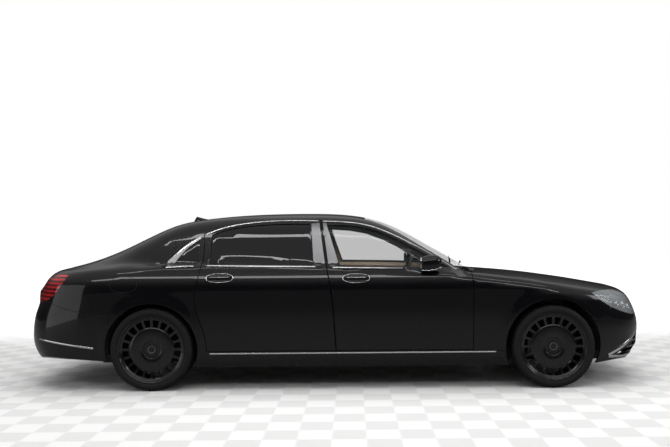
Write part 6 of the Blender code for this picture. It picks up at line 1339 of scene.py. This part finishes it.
# Cabin. Three leather seats with padded cushions, evened out and relaxed from the solids that they
# stand for, so that their edges are soft.
SEAT_VOXEL, SEAT_RELAX, SEAT_PASSES, SEAT_FILL = 0.014, 0.6, 7, 0.8
leather = Finish("beige_leather", (0.5, 0.385, 0.27), 0.5)
leather.mottle(0.12, 3.0, (0.46, 0.35, 0.24), (0.56, 0.44, 0.32))
leather.vary(0.45, 0.15, 0.01)
leather.bump(leather.cells(0.0025), 0.0004, 0.5)
for seat in ("front_seat_left", "front_seat_right", "rear_seat"):
    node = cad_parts[seat]
    mesh = node.data.copy()
    mesh.transform(node.matrix_world)
    soft = bpy.data.objects.new(seat + "_padding", mesh)
    collection.objects.link(soft)
    remesh = soft.modifiers.new("even", "REMESH")
    remesh.mode, remesh.voxel_size = "VOXEL", SEAT_VOXEL
    relax = soft.modifiers.new("relax", "SMOOTH")
    relax.factor, relax.iterations = SEAT_RELAX, SEAT_PASSES
    graph = bpy.context.evaluated_depsgraph_get()
    done = bpy.data.meshes.new_from_object(soft.evaluated_get(graph))
    soft.modifiers.clear()
    soft.data = done
    done.materials.clear()
    done.materials.append(leather.material)
    done.shade_smooth()
    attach(soft, "body")
    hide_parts(seat)

# Pieces carried over from the solids as they are: the shell and running gear in their coatings and
# castings, and the dashboard and steering wheel in dark leather.
dash_leather = Finish("dark_dash_leather", (0.028, 0.025, 0.023), 0.55)
dash_leather.bump(dash_leather.cells(0.002), 0.0004, 0.6)
coating = Finish("underbody_coating", (0.03, 0.03, 0.03), 0.75)
coating.mottle(0.1, 4.0, (0.02, 0.02, 0.02), (0.045, 0.044, 0.042))
coating.bump(coating.noise(0.004, 3.0), 0.0006, 0.5)
cast_steel = Finish("cast_iron_parts", (0.12, 0.12, 0.12), 0.5, 0.7)
cast_steel.bump(cast_steel.noise(0.003, 3.0), 0.0005, 0.5)
engine_grey = Finish("engine_casting", (0.2, 0.2, 0.2), 0.5, 0.6)
engine_grey.bump(engine_grey.noise(0.004, 3.0), 0.0006, 0.5)
exhaust_steel = Finish("exhaust_steel", (0.35, 0.33, 0.31), 0.4, 1.0)
exhaust_steel.vary(0.35, 0.2, 0.03, 3.0)
CARRIED = (
    (coating, ("tub",)),
    (dash_leather, ("dashboard", "steering_wheel")),
    (engine_grey, ("engine",)),
    (exhaust_steel, ("exhaust",)),
    (cast_steel, ("front_subframe", "rear_subframe", "knuckle_left", "knuckle_right")),
    (grille_dark, ("grille",)),
)
for finish, names in CARRIED:
    for mesh in [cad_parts[name].data for name in names]:
        mesh.materials.clear()
        mesh.materials.append(finish.material)
        mesh.polygons.foreach_set("material_index", [0] * len(mesh.polygons))

# The studio: a pale checked floor that fades into a white surround, one wide softbox overhead, two long
# strips that draw the highlights along the flank, fills at nose and tail, and the photograph's camera.
WALL_LOW_Z, WALL_HIGH_Z, GLOW_LOW, GLOW_HIGH = 0.05, 0.7, 0.02, 0.5
studio = bpy.data.worlds.new("studio")
bpy.context.scene.world = studio
studio.use_nodes = True
nodes, links = studio.node_tree.nodes, studio.node_tree.links
path = nodes.new("ShaderNodeLightPath")
seen = nodes.new("ShaderNodeMath")
seen.operation = "MAXIMUM"
links.new(path.outputs["Is Camera Ray"], seen.inputs[0])
links.new(path.outputs["Is Transmission Ray"], seen.inputs[1])
where = nodes.new("ShaderNodeTexCoord")
split = nodes.new("ShaderNodeSeparateXYZ")
links.new(where.outputs["Generated"], split.inputs[0])
level = nodes.new("ShaderNodeMapRange")
level.interpolation_type = "SMOOTHSTEP"
level.inputs["From Min"].default_value, level.inputs["From Max"].default_value = WALL_LOW_Z, WALL_HIGH_Z
level.inputs["To Min"].default_value, level.inputs["To Max"].default_value = GLOW_LOW, GLOW_HIGH
links.new(split.outputs["Z"], level.inputs["Value"])
strength = nodes.new("ShaderNodeMix")
links.new(seen.outputs[0], strength.inputs["Factor"])
links.new(level.outputs["Result"], strength.inputs["A"])
strength.inputs["B"].default_value = 1.0
links.new(strength.outputs["Result"], nodes["Background"].inputs["Strength"])
nodes["Background"].inputs["Color"].default_value = (1, 1, 1, 1)

FLOOR_RADIUS, FADE_START, FADE_END, TILE, FLOOR_GLOW = 30.0, 1.0, 4.5, 0.22, 0.95
floor_mesh = bpy.data.meshes.new("floor")
form = bmesh.new()
bmesh.ops.create_circle(form, cap_ends=True, segments=96, radius=FLOOR_RADIUS)
form.to_mesh(floor_mesh)
form.free()
floor = bpy.data.objects.new("studio_floor", floor_mesh)
collection.objects.link(floor)
tile = Finish("studio_floor", (0.8, 0.8, 0.79), 0.5)
behind = tile.axis("Y").ramp(FADE_START, FADE_END)
rays = tile.output("ShaderNodeLightPath", "Is Camera Ray")
waves = [tile.node("ShaderNodeMath", {"operation": "SINE"}, tile.axis(way) * (math.pi / TILE)) for way in "XY"]
checks = tile.blend((waves[0] * waves[1]).ramp(-0.08, 0.08), (0.74, 0.74, 0.735), (0.87, 0.87, 0.865))
tile.set("Base Color", tile.blend(rays, (0.22, 0.22, 0.22), checks))
tile.set("Emission Color", tile.blend(behind * rays, (0.0, 0.0, 0.0), (1.0, 1.0, 1.0)))
tile.set("Emission Strength", FLOOR_GLOW)
floor_mesh.materials.append(tile.material)

# Each light's name, place, turn in degrees, size and power, and whether gloss shows it.
LIGHTS = (
    ("overhead_softbox", (0.0, -0.4, 4.6), (0, 0, 0), (8.0, 3.4), 240, False),
    ("back_strip", (0.0, 5.0, 2.6), (-62, 0, 0), (8.0, 1.0), 50, False),
    ("ceiling_strip", (0.2, -2.6, 4.6), (0, 0, 0), (7.0, 0.22), 40, True),
    ("flank_strip", (0.0, -5.2, 3.4), (60, 0, 0), (9.0, 0.35), 55, True),
    ("tail_fill", (-5.8, -3.4, 0.9), (84, 0, -58), (4.2, 2.2), 26, True),
    ("nose_fill", (5.4, -2.0, 2.2), (70, 0, 68), (2.0, 1.2), 30, True),
)
for name, place, turn, size, power, shows in LIGHTS:
    light = bpy.data.lights.new(name, "AREA")
    light.shape, light.size, light.size_y, light.energy = "RECTANGLE", *size, power
    holder = bpy.data.objects.new(name, light)
    holder.location, holder.rotation_euler = place, [math.radians(angle) for angle in turn]
    holder.visible_camera, holder.visible_glossy = False, shows
    collection.objects.link(holder)

EYE, FOCAL, SENSOR, SHIFT, ROLL = (0.138, -7.03, 1.272), 39.31, 36.0, (-0.0254, 0.0205), 0.47
lens = bpy.data.cameras.new("camera")
lens.lens, lens.sensor_width = FOCAL, SENSOR
lens.shift_x, lens.shift_y = SHIFT
camera = bpy.data.objects.new("camera", lens)
camera.location, camera.rotation_euler = EYE, (math.radians(90), math.radians(ROLL), 0)
collection.objects.link(camera)
bpy.context.scene.camera = camera
bpy.context.scene.view_settings.view_transform = "Standard"
